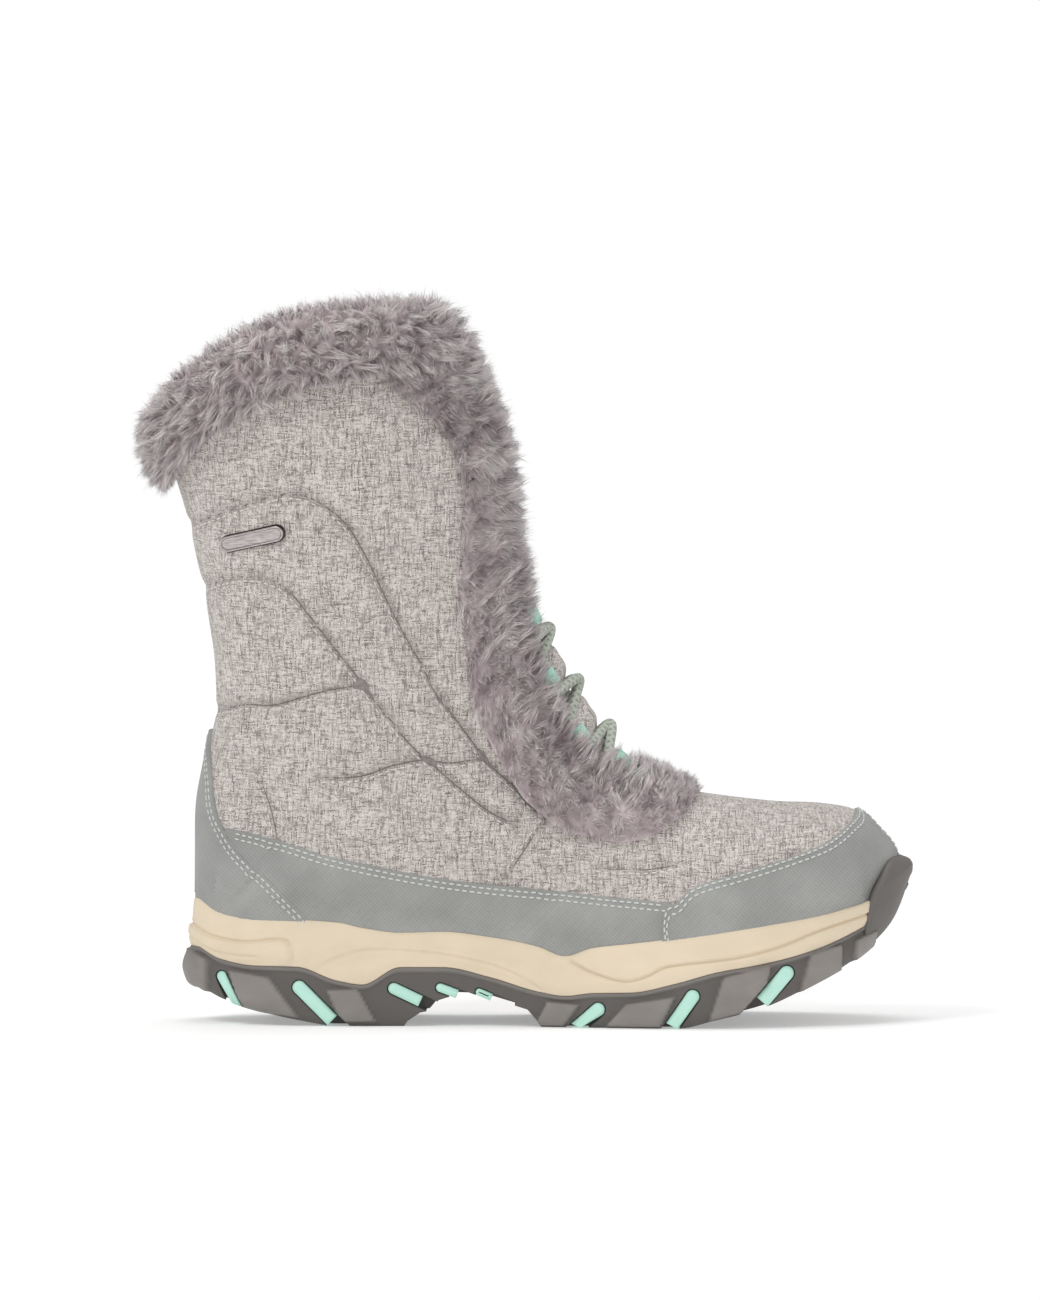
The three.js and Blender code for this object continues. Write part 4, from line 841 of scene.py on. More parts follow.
def quilted(p):
    """How far the padded cloth stands proud or sinks at points of the upper, in millimetres."""
    x, z = p[..., 0], p[..., 2]
    out = np.zeros(x.shape)
    nearest = np.full(x.shape, 1e9)
    for name, line in SEAM_LINES.items():
        depth = SEAM_DEPTH[name]
        d, where, _ = distance_to(line, x, z)
        out -= depth * np.exp(-((d / 2.1) ** 2)) + 0.35 * depth * np.exp(-((d / 6.5) ** 2))
        wave = np.sin(where * 2 * math.pi / PUCKER + 1.7 * np.sin(where * 0.21) + 0.35 * d)
        out += 0.2 * depth * wave * np.exp(-((d - 3.2) ** 2) / 7.0)
        if depth > 1.0:
            nearest = np.minimum(nearest, d)
    shaft = smooth(z, 70, 95)
    out += 1.25 * (1 - np.exp(-nearest / 9.0)) * mix(0.45, 1.0, shaft)
    y = p[..., 1]
    out += 0.45 * np.sin(0.09 * x + 0.05 * z + 0.7) * np.sin(0.07 * z - 0.04 * x + 0.02 * y)
    out += 0.22 * np.sin(0.21 * x - 0.13 * z) * np.sin(0.17 * z + 0.05 * y + 1.0)
    return out


# Creases at the ankle, where the shaft bends over the foot: along, up, length, lean in degrees, depth
CREASES = np.array([
    (0.36, 0.36, 30.0, 28.0, 0.9),
    (0.3, 0.3, 26.0, 18.0, 0.7),
    (0.14, 0.28, 24.0, -8.0, 0.7),
    (0.22, 0.44, 22.0, 12.0, 0.5),
    (0.12, 0.45, 24.0, -6.0, 0.5),
    (0.36, 0.55, 26.0, 35.0, 0.5),
    (0.25, 0.75, 30.0, 12.0, 0.45),
    (0.5, 0.11, 16.0, 60.0, 0.5),
    (0.62, 0.16, 22.0, 12.0, 0.5),
    (0.7, 0.13, 26.0, -4.0, 0.4),
])


def creased(p):
    x, z = p[..., 0], p[..., 2]
    out = np.zeros(x.shape)
    for along, up, length, lean, depth in CREASES:
        cx, cz = along_foot(along), upper_height(up)
        c, s = math.cos(math.radians(lean)), math.sin(math.radians(lean))
        a = (x - cx) * c + (z - cz) * s
        b = -(x - cx) * s + (z - cz) * c + 0.012 * a * a
        window = np.exp(-((a / length) ** 2) * 2.5)
        out += depth * window * (0.8 * np.exp(-(((b - 3.2) / 3.0) ** 2)) - np.exp(-((b / 2.2) ** 2)))
    return out


UPPER_ROWS = 270
UPPER_COLUMNS = 134


def half_grid(side, rows, columns):
    """Sections and places of one half of the upper, from the throat's edge down to the sole."""
    k = np.linspace(0, 1, columns)
    t = np.linspace(0, 1, rows)
    knee = (t * t * 0.25 + t * 0.75)[:, None]
    section = knee * on_collar(side * np.maximum(k, 0.15))[None, :]
    edge = np.where(section < THROAT_TIP, 0.0, throat_edge(section))
    around = edge + (1 - edge) * k[None, :]
    return section, side * np.clip(around, 0.0 if side > 0 else 1e-7, 1.0)


def upper_layer(rows, columns, out_at):
    """Both halves of a layer of the upper, joined along the vamp and the back seam."""
    points, faces, start = [], [], 0
    for side in (-1, 1):
        section, around = half_grid(side, rows, columns)
        base = form(section, around)
        p = base + normal_at(section, around) * out_at(base, section, around)[..., None]
        points.append(p.reshape(-1, 3))
        quads = grid_faces(rows, columns, start)
        faces.append(quads if side < 0 else quads[:, ::-1])
        start += rows * columns
    return np.concatenate(points), np.concatenate(faces)


def outside(p, section, around):
    lowered = smooth(p[..., 2], feather_at(p[..., 0]) - 2, feather_at(p[..., 0]) + 6)
    under_overlays = mix(-0.2, 0.0, lowered)
    edge = np.abs(around) - np.where(section < THROAT_TIP, -1.0, throat_edge(section))
    rolled = -1.2 * (1 - smooth(edge, 0.0, 0.02))
    calm = mix(1.0, 0.4, smooth(np.abs(around), 0.78, 0.96))
    return (quilted(p) * calm + creased(p)) * lowered + under_overlays + rolled


def inside(p, section, around):
    return np.full(section.shape, -WALL)


def seam_shade(points):
    """How much shade is painted into the cloth in its seams, from 0 to 1."""
    shade = np.zeros(len(points))
    for name, line in SEAM_LINES.items():
        d, _, _ = distance_to(line, points[:, 0], points[:, 2])
        shade = np.maximum(shade, 0.16 * SEAM_DEPTH[name] * np.exp(-((d / 1.7) ** 2)))
    return shade


def make_upper():
    points, faces = upper_layer(UPPER_ROWS, UPPER_COLUMNS, outside)
    outer = piece_of("upper_cloth", points, faces, FABRIC, tone=seam_shade(points))
    weld(outer, 0.00002)
    show_as(outer, ["upper"])
    points, faces = upper_layer(90, 50, inside)
    material, tree, shader = new_material("brushed_lining", 0.95, **{"Sheen_Weight": 0.3})
    u, v = facing(tree)
    tone = noise(tree, u, v, 0.5, 0.5, 4.0, 0.7)
    tree.links.new(ramp(tree, tone, [(0.3, linear(112, 106, 104)), (0.7, linear(160, 153, 150))]),
                   shader.inputs["Base Color"])
    bump(tree, shader, noise(tree, u, v, 1.5, 1.5, 3.0), 0.0005)
    lining = piece_of("upper_lining", points, faces[:, ::-1], material)
    weld(lining, 0.00002)
    show_as(lining, [])
    return material


LINING = make_upper()
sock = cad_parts["insole"]
sock.data.materials.clear()
sock.data.materials.append(LINING)


def tube(path, radius, sides):
    """A tube along a path with its own UV: round in U, and along in units of the radius in V."""
    way = unit(np.gradient(path, axis=0))
    normal = np.zeros_like(path)
    normal[0] = unit(np.cross(way[0], [0.0, 0.0, 1.0]))
    for i in range(1, len(path)):
        n = normal[i - 1] - way[i] * np.dot(normal[i - 1], way[i])
        normal[i] = unit(n)
    other = np.cross(way, normal)
    turn = np.linspace(0, 2 * math.pi, sides + 1)
    radius = np.broadcast_to(np.asarray(radius, float), (len(path),))
    rings = path[:, None, :] + radius[:, None, None] * (
        normal[:, None, :] * np.cos(turn)[None, :, None] + other[:, None, :] * np.sin(turn)[None, :, None])
    run = run_of(path)
    u, v = np.meshgrid(turn / (2 * math.pi), run / radius.mean())
    return rings.reshape(-1, 3), np.stack([u.ravel(), v.ravel()], axis=-1), grid_faces(len(path), sides + 1)


def seam_runs(shift, lift):
    """Runs along each quilted seam on both sides, moved aside and proud of the cloth."""
    runs = []
    for name, line in SEAM_LINES.items():
        moved = resampled(line, 1.5)
        way = unit(np.gradient(moved, axis=0))
        moved = moved + np.stack([way[:, 1], -way[:, 0]], axis=-1) * shift
        for side in (-1, 1):
            section, around = place_of(moved, side)
            p = form(section, around)
            found = np.hypot(p[:, 0] - moved[:, 0], p[:, 2] - moved[:, 1]) < 0.7
            seen = found & (np.abs(around) < 0.985) & (np.abs(around) > throat_edge(section) + 0.03)
            section, around, p = section[seen], around[seen], p[seen]
            normal = normal_at(section, around)
            runs.append((name, p + normal * (outside(p, section, around) + lift)[:, None], normal))
    return runs


SEAM_SHADOW_RADIUS = 0.36
SEAM_STITCH_OFFSET = 1.5


def make_seam_shadow_lines():
    """A fine dark cord in the bottom of each quilted seam, painted shadow along the sewing line."""
    points, faces, start = [], [], 0
    for name, path, _ in seam_runs(0.0, -0.05):
        taper = np.minimum(1.0, np.minimum(np.arange(len(path)), np.arange(len(path))[::-1]) / 3 + 0.05)
        p, _, f = tube(path, SEAM_SHADOW_RADIUS * min(1.0, 0.55 + 0.25 * SEAM_DEPTH[name]) * taper, 6)
        points.append(p)
        faces.append(f + start)
        start += len(p)
    lines = piece_of("seam_shadow_lines", np.concatenate(points), np.concatenate(faces), SEAM_SHADOW_CORD)
    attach(lines, "root")


def make_seam_threads():
    """The runs for small light stitches just below each quilted seam, with their normals."""
    runs = seam_runs(SEAM_STITCH_OFFSET, 0.12)
    return [(path, normal) for _, path, normal in runs]


make_seam_shadow_lines()


# Overlays
# Synthetic sheets over the foot of the upper, with rounded edges and two rows of light stitches in them.
TOE_CAP_EDGE = [(0.664, -0.06), (0.667, 0.02), (0.684, 0.03), (0.702, 0.05), (0.726, 0.0615),
                (0.777, 0.077), (0.849, 0.101), (0.9, 0.122), (0.935, 0.15), (0.945, 0.166), (0.952, 0.2)]
RAND_TOP = [(0.042, 0.146), (0.115, 0.128), (0.2, 0.1), (0.315, 0.0735), (0.405, 0.059), (0.518, 0.047),
            (0.6, 0.0375), (0.684, 0.03)]
COUNTER_EDGE = [(0.168, -0.04), (0.157, 0.0), (0.11, 0.058), (0.063, 0.105), (0.037, 0.148),
                (0.026, 0.18), (0.022, 0.225), (0.015, 0.274), (0.0, 0.285), (-0.012, 0.285)]
STITCH_INSETS = (1.5, 3.4)
# The rows of a sheet next to its edge, in millimetres inside it
EDGE_ROWS = np.array([0, 0.0001, 0.15, 0.35, 0.6, 0.9, 1.2])


def strip_between(edge, foot, rows, columns):
    """Sections and places of a grid from an edge line down to a foot line, and each row's depth."""
    t = np.linspace(0, 1, columns)
    q = np.linspace(0, 1, rows)[:, None]
    lines = []
    for line in (edge, foot):
        line = np.asarray(line, float)
        p = form(line[:, 0], line[:, 1])
        run = run_of(p, 1e-6)
        lines.append([np.interp(t * run[-1], run, line[:, k]) for k in (0, 1)])
    (s0, a0), (s1, a1) = lines
    length = np.linalg.norm(form(s1, a1) - form(s0, a0), axis=-1)
    return mix(s0, s1, q), mix(a0, a1, q), q * np.maximum(length, 1.0)[None, :]


def overlay_out(p, depth, thickness):
    rim = np.clip(depth / 1.1, 0, 1)
    out = thickness * np.sqrt(1 - (1 - rim) ** 2)
    feather = feather_at(p[..., 0])
    kept = smooth(p[..., 2], feather - 3.5, feather - 0.5)
    return np.where(depth <= 0, -0.6, out) * mix(0.2, 1.0, kept)


def overlay(edge, foot, side, thickness, rows=26, columns=180):
    """One half of an overlay. The rows crowd towards the edge, where it rounds over."""
    section, around, depth = strip_between(edge, foot, 2, columns)
    length = depth[1]
    plain = np.linspace(0, 1, rows)
    q = np.minimum(EDGE_ROWS[:, None] / length[None, :], 0.5)
    q = np.concatenate([q, q[-1] + (1 - q[-1]) * plain[1:, None]])
    s = mix(section[0], section[1], q)
    a = mix(around[0], around[1], q)
    depth = q * length[None, :]
    depth[0] = 0
    p = form(s, a)
    out = overlay_out(p, depth, thickness) + 0.3
    points = p + normal_at(s, a) * out[..., None]
    faces = grid_faces(q.shape[0], columns)
    return points.reshape(-1, 3), faces if side < 0 else faces[:, ::-1]


def edge_places(rows, side):
    line = resampled(side_points(rows), 1.0)
    section, around = place_of(line, side)
    return np.stack([section, around], axis=-1)


def dashes(points, normals, length, gap, radius, lift=0.1):
    """Stitches along a run of points: short rounded threads, as points and faces."""
    run = run_of(points)
    starts = np.arange(0.4, run[-1] - length, length + gap)
    ring = np.linspace(0, 2 * math.pi, 6, endpoint=False)
    stations = np.array([0.0, 0.12, 0.5, 0.88, 1.0])
    widths = np.array([0.35, 0.85, 1.0, 0.85, 0.35])
    all_points, all_faces, start = [], [], 0
    for s in starts:
        at = s + stations * length
        p = looked_up(at, run, points)
        n = unit(looked_up(at, run, normals))
        way = unit(np.gradient(p, axis=0))
        b = unit(np.cross(way, n))
        rise = lift - 0.35 * radius * (1 - widths)
        centre = p + n * rise[:, None]
        spoke = b[:, None, :] * np.cos(ring)[None, :, None]
        spoke = spoke + n[:, None, :] * 0.8 * np.sin(ring)[None, :, None]
        rings = centre[:, None, :] + spoke * (radius * widths)[:, None, None]
        all_points.append(rings.reshape(-1, 3))
        all_faces.append(grid_faces(len(stations), len(ring), start, closed=True))
        start += len(stations) * len(ring)
    return all_points, all_faces, start


def thread_piece(name, runs, material, **shape):
    points, faces, start = [], [], 0
    for run, normals in runs:
        p, f, used = dashes(run, normals, **shape)
        points.extend(p)
        faces.extend(g + start for g in f)
        start += used
    obj = piece_of(name, np.concatenate(points), np.concatenate(faces), material)
    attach(obj, "root")
    return obj


def inset_run(edge, foot, inset, out, trim, columns=400):
    """A run over the surface at an even distance inside an edge, evened out, between two shares of it."""
    section, around, _ = strip_between(edge, foot, 2, columns)
    share = np.linspace(0, 0.6, 120)[:, None]
    p = form(mix(section[0], section[1], share), mix(around[0], around[1], share))
    along = unit(np.gradient(p[0], axis=0))
    reach = np.linalg.norm(np.cross(p - p[0], along), axis=-1)
    reach = np.maximum.accumulate(reach)
    q = np.array([np.interp(inset, reach[:, k], share[:, 0]) for k in range(columns)])
    q = np.convolve(np.pad(q, 7, mode="edge"), np.ones(15) / 15, "valid")
    s = mix(section[0], section[1], q)
    a = mix(around[0], around[1], q)
    keep = slice(int(trim[0] * columns), int(trim[1] * columns))
    normals = normal_at(s, a)
    return (form(s, a) + normals * out)[keep], normals[keep]


def foot_line(sections, side):
    return np.array([(s, side) for s in sections], float)


def make_overlays():
    runs = []
    parts = {"toe_cap": [], "heel_counter": []}
    for side, word in ((-1, "outer"), (1, "inner")):
        toe_edge = edge_places(TOE_CAP_EDGE, side)
        ridge = form(np.linspace(0, 3, 200), np.zeros(200))
        tip = float(np.interp(-upper_height(TOE_CAP_EDGE[-1][1]), -ridge[:, 2], np.linspace(0, 3, 200)))
        toe_edge = np.concatenate([toe_edge[toe_edge[:, 0] > tip], [(tip, 0.0)]])
        toe_foot = foot_line([toe_edge[0, 0] + 0.2, 4, 1.5, 0.6, 0, 0, 0], side)
        toe_foot[-2:, 1] = (0.5 * side, 0.0)
        counter_edge = edge_places(COUNTER_EDGE, side)
        back = float(place_of(side_points([COUNTER_EDGE[-1]]), side)[0][0])
        counter_edge = counter_edge[np.abs(counter_edge[:, 1]) < 0.97]
        counter_edge = np.concatenate([counter_edge, [(back, float(side))]])
        counter_foot = foot_line([13.2, 14.5, 15.5, 16.0, 16.8, back - 0.6, back - 0.1], side)
        rand_edge = edge_places(RAND_TOP, side)
        rand_foot = foot_line([13.6, 12.5, 11, 10, 9, 8, 7], side)
        parts["toe_cap"].append(overlay(toe_edge, toe_foot, side, OVERLAY + 0.2))
        parts["heel_counter"].append(overlay(counter_edge, counter_foot, side, OVERLAY + 0.2))
        rand = piece_of(f"rand_{word}", *overlay(rand_edge, rand_foot, side, OVERLAY - 0.4), SYNTHETIC)
        show_as(rand, [f"side_rand_{word}"])
        for inset in STITCH_INSETS:
            runs.append(inset_run(toe_edge, toe_foot, inset, OVERLAY + 0.55, (0.03, 0.995)))
            runs.append(inset_run(counter_edge, counter_foot, inset, OVERLAY + 0.55, (0.05, 0.99)))
            runs.append(inset_run(rand_edge, rand_foot, inset, OVERLAY - 0.05, (0.03, 0.985)))
    for name, halves in parts.items():
        points = np.concatenate([half[0] for half in halves])
        faces = np.concatenate([halves[0][1], halves[1][1] + len(halves[0][0])])
        sheet = piece_of(name + "_sheet", points, faces, SYNTHETIC)
        weld(sheet, 0.00003)
        show_as(sheet, [name])
    threads = thread_piece("overlay_stitches", runs, THREAD, length=1.9, gap=0.9, radius=0.38)


make_overlays()
SEAM_LIGHT, _, _ = new_material("seam_light", 0.8, colour=linear(226, 221, 214))
seam_stitches = thread_piece("seam_stitches", make_seam_threads(), SEAM_LIGHT, length=1.8, gap=1.2,
                             radius=0.3, lift=0.05)


# Sole
# Rings round the sole give the foam and rubber walls; lines and facets follow the side view.
def sole_at(side, row, out, height_at, flare=0.0):
    toeward = smooth(row, 12, TOE)
    heelward = 1 - smooth(row, 0, 3.5)
    x, y = offset_outline(side, row, mix(LIP, BUMPER, toeward) + out + flare * heelward)
    return np.stack([x, y, height_at(x)], axis=-1)


def ring_rows(count):
    """Rows of the outline an even distance apart, round the outer side and back along the inner one."""
    rows = np.linspace(0, TOE, 4000)
    runs = []
    for side in (-1, 1):
        run = run_of(np.stack(on_outline(side, rows), axis=-1))
        runs.append(np.interp(np.linspace(0, run[-1], count), run, rows))
    sides = np.concatenate([np.full(count, -1.0), np.full(count - 2, 1.0)])
    return sides, np.concatenate([runs[0], runs[1][1:-1][::-1]])


def ring_of(sides, rows, out, height_at, flare=0.0):
    outer = sole_at(-1, rows, out, height_at, flare)
    inner = sole_at(1, rows, out, height_at, flare)
    return np.where(sides[:, None] < 0, outer, inner)


def between(low, high, share):
    return lambda x: mix(low(x), high(x), share)


def sole_side(points):
    points = np.asarray(points, float)
    return np.stack([along_foot(points[:, 0]), points[:, 1] * SOLE_HEIGHT], axis=-1)


# Lines in the foam's side: points along the foot and up the sole, then width and depth
MIDSOLE_LINES = {
    "heel_step": ([(-0.03, 0.98), (-0.008, 0.915), (0.017, 0.832), (0.064, 0.785), (0.1, 0.807), (0.121, 0.812),
                   (0.13, 0.785), (0.134, 0.72), (0.134, 0.562)], 0.55, 0.9),
    "heel_line": ([(-0.03, 0.87), (-0.011, 0.797), (0.014, 0.703), (0.046, 0.657), (0.082, 0.645)],
                  0.45, 0.6),
    "arch": ([(0.166, 0.492), (0.179, 0.575), (0.208, 0.667), (0.236, 0.715), (0.261, 0.722), (0.315, 0.703),
              (0.369, 0.657), (0.423, 0.575), (0.466, 0.458), (0.502, 0.302)], 0.5, 0.7),
    "forefoot": ([(0.512, 0.74), (0.526, 0.657), (0.562, 0.528), (0.608, 0.445), (0.641, 0.492), (0.67, 0.585),
                  (0.724, 0.633), (0.777, 0.68), (0.831, 0.772), (0.885, 0.903), (0.938, 1.007),
                  (0.985, 1.09)], 0.55, 0.7),
}


def foam_relief(x, z):
    """Steps and lines in the foam's side: how far it stands out at points of the side view."""
    out = np.zeros(x.shape)
    for name, (rows, width, depth) in MIDSOLE_LINES.items():
        line = resampled(sole_side(rows), 2.0)
        d, _, sign = distance_to(line, x, z)
        d = d * sign
        out -= depth * np.exp(-((d / width) ** 2))
        ends = smooth(x, line[0, 0], line[0, 0] + 8) * (1 - smooth(x, line[-1, 0] - 8, line[-1, 0]))
        if name == "forefoot":
            out += 0.9 * smooth(d, 0.0, 0.7) * (1 - smooth(d, 1.5, 8.0)) * ends
        if name == "arch":
            out -= 0.7 * smooth(-d, 0.0, 0.7) * (1 - smooth(-d, 2.5, 9.0)) * ends
        if name == "heel_step":
            out += 0.7 * smooth(-d, 0.0, 0.7) * (1 - smooth(-d, 3.0, 9.0)) * (1 - smooth(x, 40, 41.5))
    return out


def make_midsole():
    count = 320
    sides, rows = ring_rows(count)
    profile = curve([0.0, 0.25, 0.5, 0.58, 0.9, 1.0], [-0.4, 0.5, 0.3, 0.0, -0.5, -1.3])
    shares = np.linspace(0, 1, 44)
    rings = []
    for share in shares:
        flare = HEEL_FLARE * 0.4 * max(0.0, 1 - share / 0.5)
        height_at = between(outsole_top_at, feather_at, share)
        p = ring_of(sides, rows, float(profile(share)), height_at, flare)
        q = ring_of(sides, rows, float(profile(share)) + 1, height_at, flare)
        outward = q - p
        outward[:, 2] = 0
        relief = foam_relief(p[:, 0], p[:, 2]) * math.sin(math.pi * min(1, share * 1.04)) ** 0.25
        relief -= 1.8 * smooth(p[:, 0], along_foot(0.972), along_foot(0.985))
        rings.append(p + unit(outward) * relief[:, None])
    top = lambda up: (lambda x: feather_at(x) + up)
    for out, up in ((-1.75, -0.05), (-2.2, -0.5), (-2.5, -1.2), (-2.7, -5.0), (-2.7, -9.0)):
        rings.append(ring_of(sides, rows, out, top(up)))
    bottom = [ring_of(sides, rows, out, outsole_top_at) for out in (-9, -2)]
    rings = bottom + rings
    points = np.concatenate(rings)
    faces = grid_faces(len(rings), len(sides), closed=True)
    foam = piece_of("foam_cup", points, faces, FOAM)
    show_as(foam, ["midsole"])


make_midsole()

# Lugs: the top's place along and up, the foot's place along and up, and the width
LUGS = np.array([
    (0.03, 0.5, 0.052, 0.17, 0.1),
    (0.138, 0.41, 0.186, 0.1, 0.13),
    (0.273, 0.38, 0.312, 0.26, 0.11),
    (0.341, 0.38, 0.366, 0.32, 0.085),
    (0.398, 0.34, 0.416, 0.29, 0.07),
    (0.58, 0.22, 0.548, 0.03, 0.13),
    (0.713, 0.36, 0.683, 0.07, 0.13),
    (0.849, 0.57, 0.813, 0.3, 0.14),
])
LUG_DEPTH = 16.0
SLOT_GAP = 0.35
GROOVE_REACH = 27.0
WAIST = [(0.285, -0.1), (0.3, 0.05), (0.318, 0.13), (0.332, 0.15), (0.345, 0.25), (0.37, 0.3), (0.41, 0.29),
         (0.455, 0.2), (0.472, 0.165), (0.487, 0.05), (0.5, -0.1)]
GROOVES = [(0.105, 2), (0.245, 2), (0.605, -3), (0.655, -3), (0.765, -3), (0.89, -3)]
BUMPER_LINE = [(0.955, 0.5), (0.963, 0.98), (0.974, 1.19), (0.986, 1.33), (0.992, 1.42), (1.0, 1.55)]
# Raised blocks on the rubber's side: the corners of each, along the foot and up the sole
BLOCKS = [
    [(-0.03, 0.72), (0.009, 0.604), (0.01, 0.26), (-0.03, 0.4)],
    [(0.042, 0.513), (0.101, 0.449), (0.142, 0.09), (0.062, 0.14)],
    [(0.185, 0.34), (0.229, 0.345), (0.254, 0.05), (0.204, 0.05)],
    [(0.5, 0.24), (0.544, 0.215), (0.522, 0.02), (0.483, 0.02)],
    [(0.612, 0.225), (0.681, 0.3), (0.66, 0.02), (0.584, 0.02)],
    [(0.752, 0.478), (0.819, 0.593), (0.806, 0.2), (0.732, 0.08)],
    [(0.878, 0.684), (0.922, 0.764), (0.922, 0.5), (0.861, 0.3)],
    [(0.945, 0.798), (0.974, 0.89), (0.969, 0.68), (0.941, 0.57)],
]


def inside_polygon(corners, x, z):
    """Distance inside a convex polygon of the side view, negative outside."""
    corners = np.asarray(corners, float)
    inner = np.full(x.shape, 1e9)
    for k in range(len(corners)):
        x0, z0 = corners[k]
        x1, z1 = corners[(k + 1) % len(corners)]
        length = math.hypot(x1 - x0, z1 - z0)
        inner = np.minimum(inner, ((x1 - x0) * (z0 - z) - (x - x0) * (z0 - z1)) / length)
    return inner


def prism(name, outline, low, high):
    """A closed prism of a side-view outline, from one place across to another."""
    outline = np.asarray(outline, float)
    n = len(outline)
    near = np.stack([outline[:, 0], np.full(n, low), outline[:, 1]], axis=-1)
    far = near.copy()
    far[:, 1] = high
    k = np.arange(n)
    walls = np.stack([k, (k + 1) % n, (k + 1) % n + n, k + n], axis=-1)
    obj = piece_of(name, np.concatenate([near, far]), [walls, [k[::-1]], [k + n]], RUBBER, shade=False)
    edit_mesh(obj, OUTWARD)
    return obj


def cut(obj, tools, operation="DIFFERENCE"):
    for tool in tools:
        modifier = obj.modifiers.new("cut", "BOOLEAN")
        modifier.operation = operation
        modifier.solver = "EXACT"
        modifier.object = tool
        bpy.context.view_layer.objects.active = obj
        bpy.ops.object.modifier_apply(modifier=modifier.name)
        bpy.data.objects.remove(tool)


def slot_outline(lug, grow, run_out, points=10):
    """A slanted bar with a round top, seen from the side."""
    top = sole_side([lug[0:2]])[0]
    foot = sole_side([lug[2:4]])[0]
    half = lug[4] * SOLE_HEIGHT / 2 + grow
    along = unit(foot - top)
    across = np.array([-along[1], along[0]])
    length = np.linalg.norm(foot - top)
    turn = np.linspace(0, math.pi, points)
    head = [top + along * (half * (1 - math.sin(t)) - grow) + across * half * math.cos(t) for t in turn]
    end = length + run_out * half
    return np.array(head + [top + along * end - across * half, top + along * end + across * half])


def lug_reach(lug, side):
    y = float(outline_beside(side, along_foot(lug[0])))
    return (y - 30, y - LIP + LUG_DEPTH) if side < 0 else (y + LIP - LUG_DEPTH, y + 30)


def make_outsole():
    count = 330
    sides, rows = ring_rows(count)
    profile = curve([0.0, 0.06, 0.16, 0.5, 0.93, 1.0], [-3.5, -2.0, -0.9, 0.4, 0.1, -0.5])
    rings, shade_tones = [], []
    for share in np.linspace(0, 1, 30):
        flare = HEEL_FLARE * mix(1.0, 0.4, smooth(share, 0.5, 1.0))
        height = between(floor_at, outsole_top_at, share)
        p = ring_of(sides, rows, float(profile(share)), height, flare)
        q = ring_of(sides, rows, float(profile(share)) + 1, height, flare)
        outward = q - p
        outward[:, 2] = 0
        raised = np.zeros(len(p))
        for corners in BLOCKS:
            inner = inside_polygon(sole_side(corners), p[:, 0], p[:, 2])
            raised = np.maximum(raised, smooth(inner, -0.5, 0.3))
        lip = smooth(p[:, 2], outsole_top_at(p[:, 0]) - 2.2, outsole_top_at(p[:, 0]) - 1.2)
        out = 1.9 * raised - 1.2 + 0.9 * lip
        rings.append(p + unit(outward) * out[:, None])
        # Painted shade: tone 0 gives the recesses between the raised blocks the recess shade colour; the blocks
        # and the top lip stay lighter.
        shade_tones.append(np.maximum(raised, 0.6 * lip))
    n = len(sides)
    points = np.concatenate(rings)
    walls = grid_faces(len(rings), n, closed=True)
    inner_of = (2 * count - 2 - np.arange(count)) % n
    strip = np.arange(count - 1)
    under = np.stack([strip, inner_of[strip], inner_of[strip + 1], strip + 1], axis=-1)
    over = under[:, ::-1] + (len(rings) - 1) * n
    return points, walls, under, over, np.concatenate(shade_tones)


def make_rubber():
    points, walls, under, over, shade_tones = make_outsole()
    quads = np.concatenate([walls, under[1:-1], over[1:-1]])
    obj = piece_of("rubber_sole", points, [quads], RUBBER, tone=shade_tones)
    edit_mesh(obj, (bpy.ops.mesh.fill_holes, {"sides": 4}), OUTWARD)
    tools = [prism("waist", sole_side(WAIST), -90, 90)]
    for lug in LUGS:
        for side in (-1, 1):
            tools.append(prism("slot", slot_outline(lug, SLOT_GAP, 6), *lug_reach(lug, side)))
    for along, lean in GROOVES:
        x = float(along_foot(along))
        low, high = float(floor_at(x)) - 3, float(floor_at(x)) + 3.5
        tools.append(prism("groove", [(x - 2, low), (x + 2, low), (x + 2 + lean, high), (x - 2 + lean, high)],
                           -GROOVE_REACH, GROOVE_REACH))
    cut(obj, tools)
    obj.data.polygons.foreach_set("use_smooth", np.full(len(obj.data.polygons), True))
    return obj


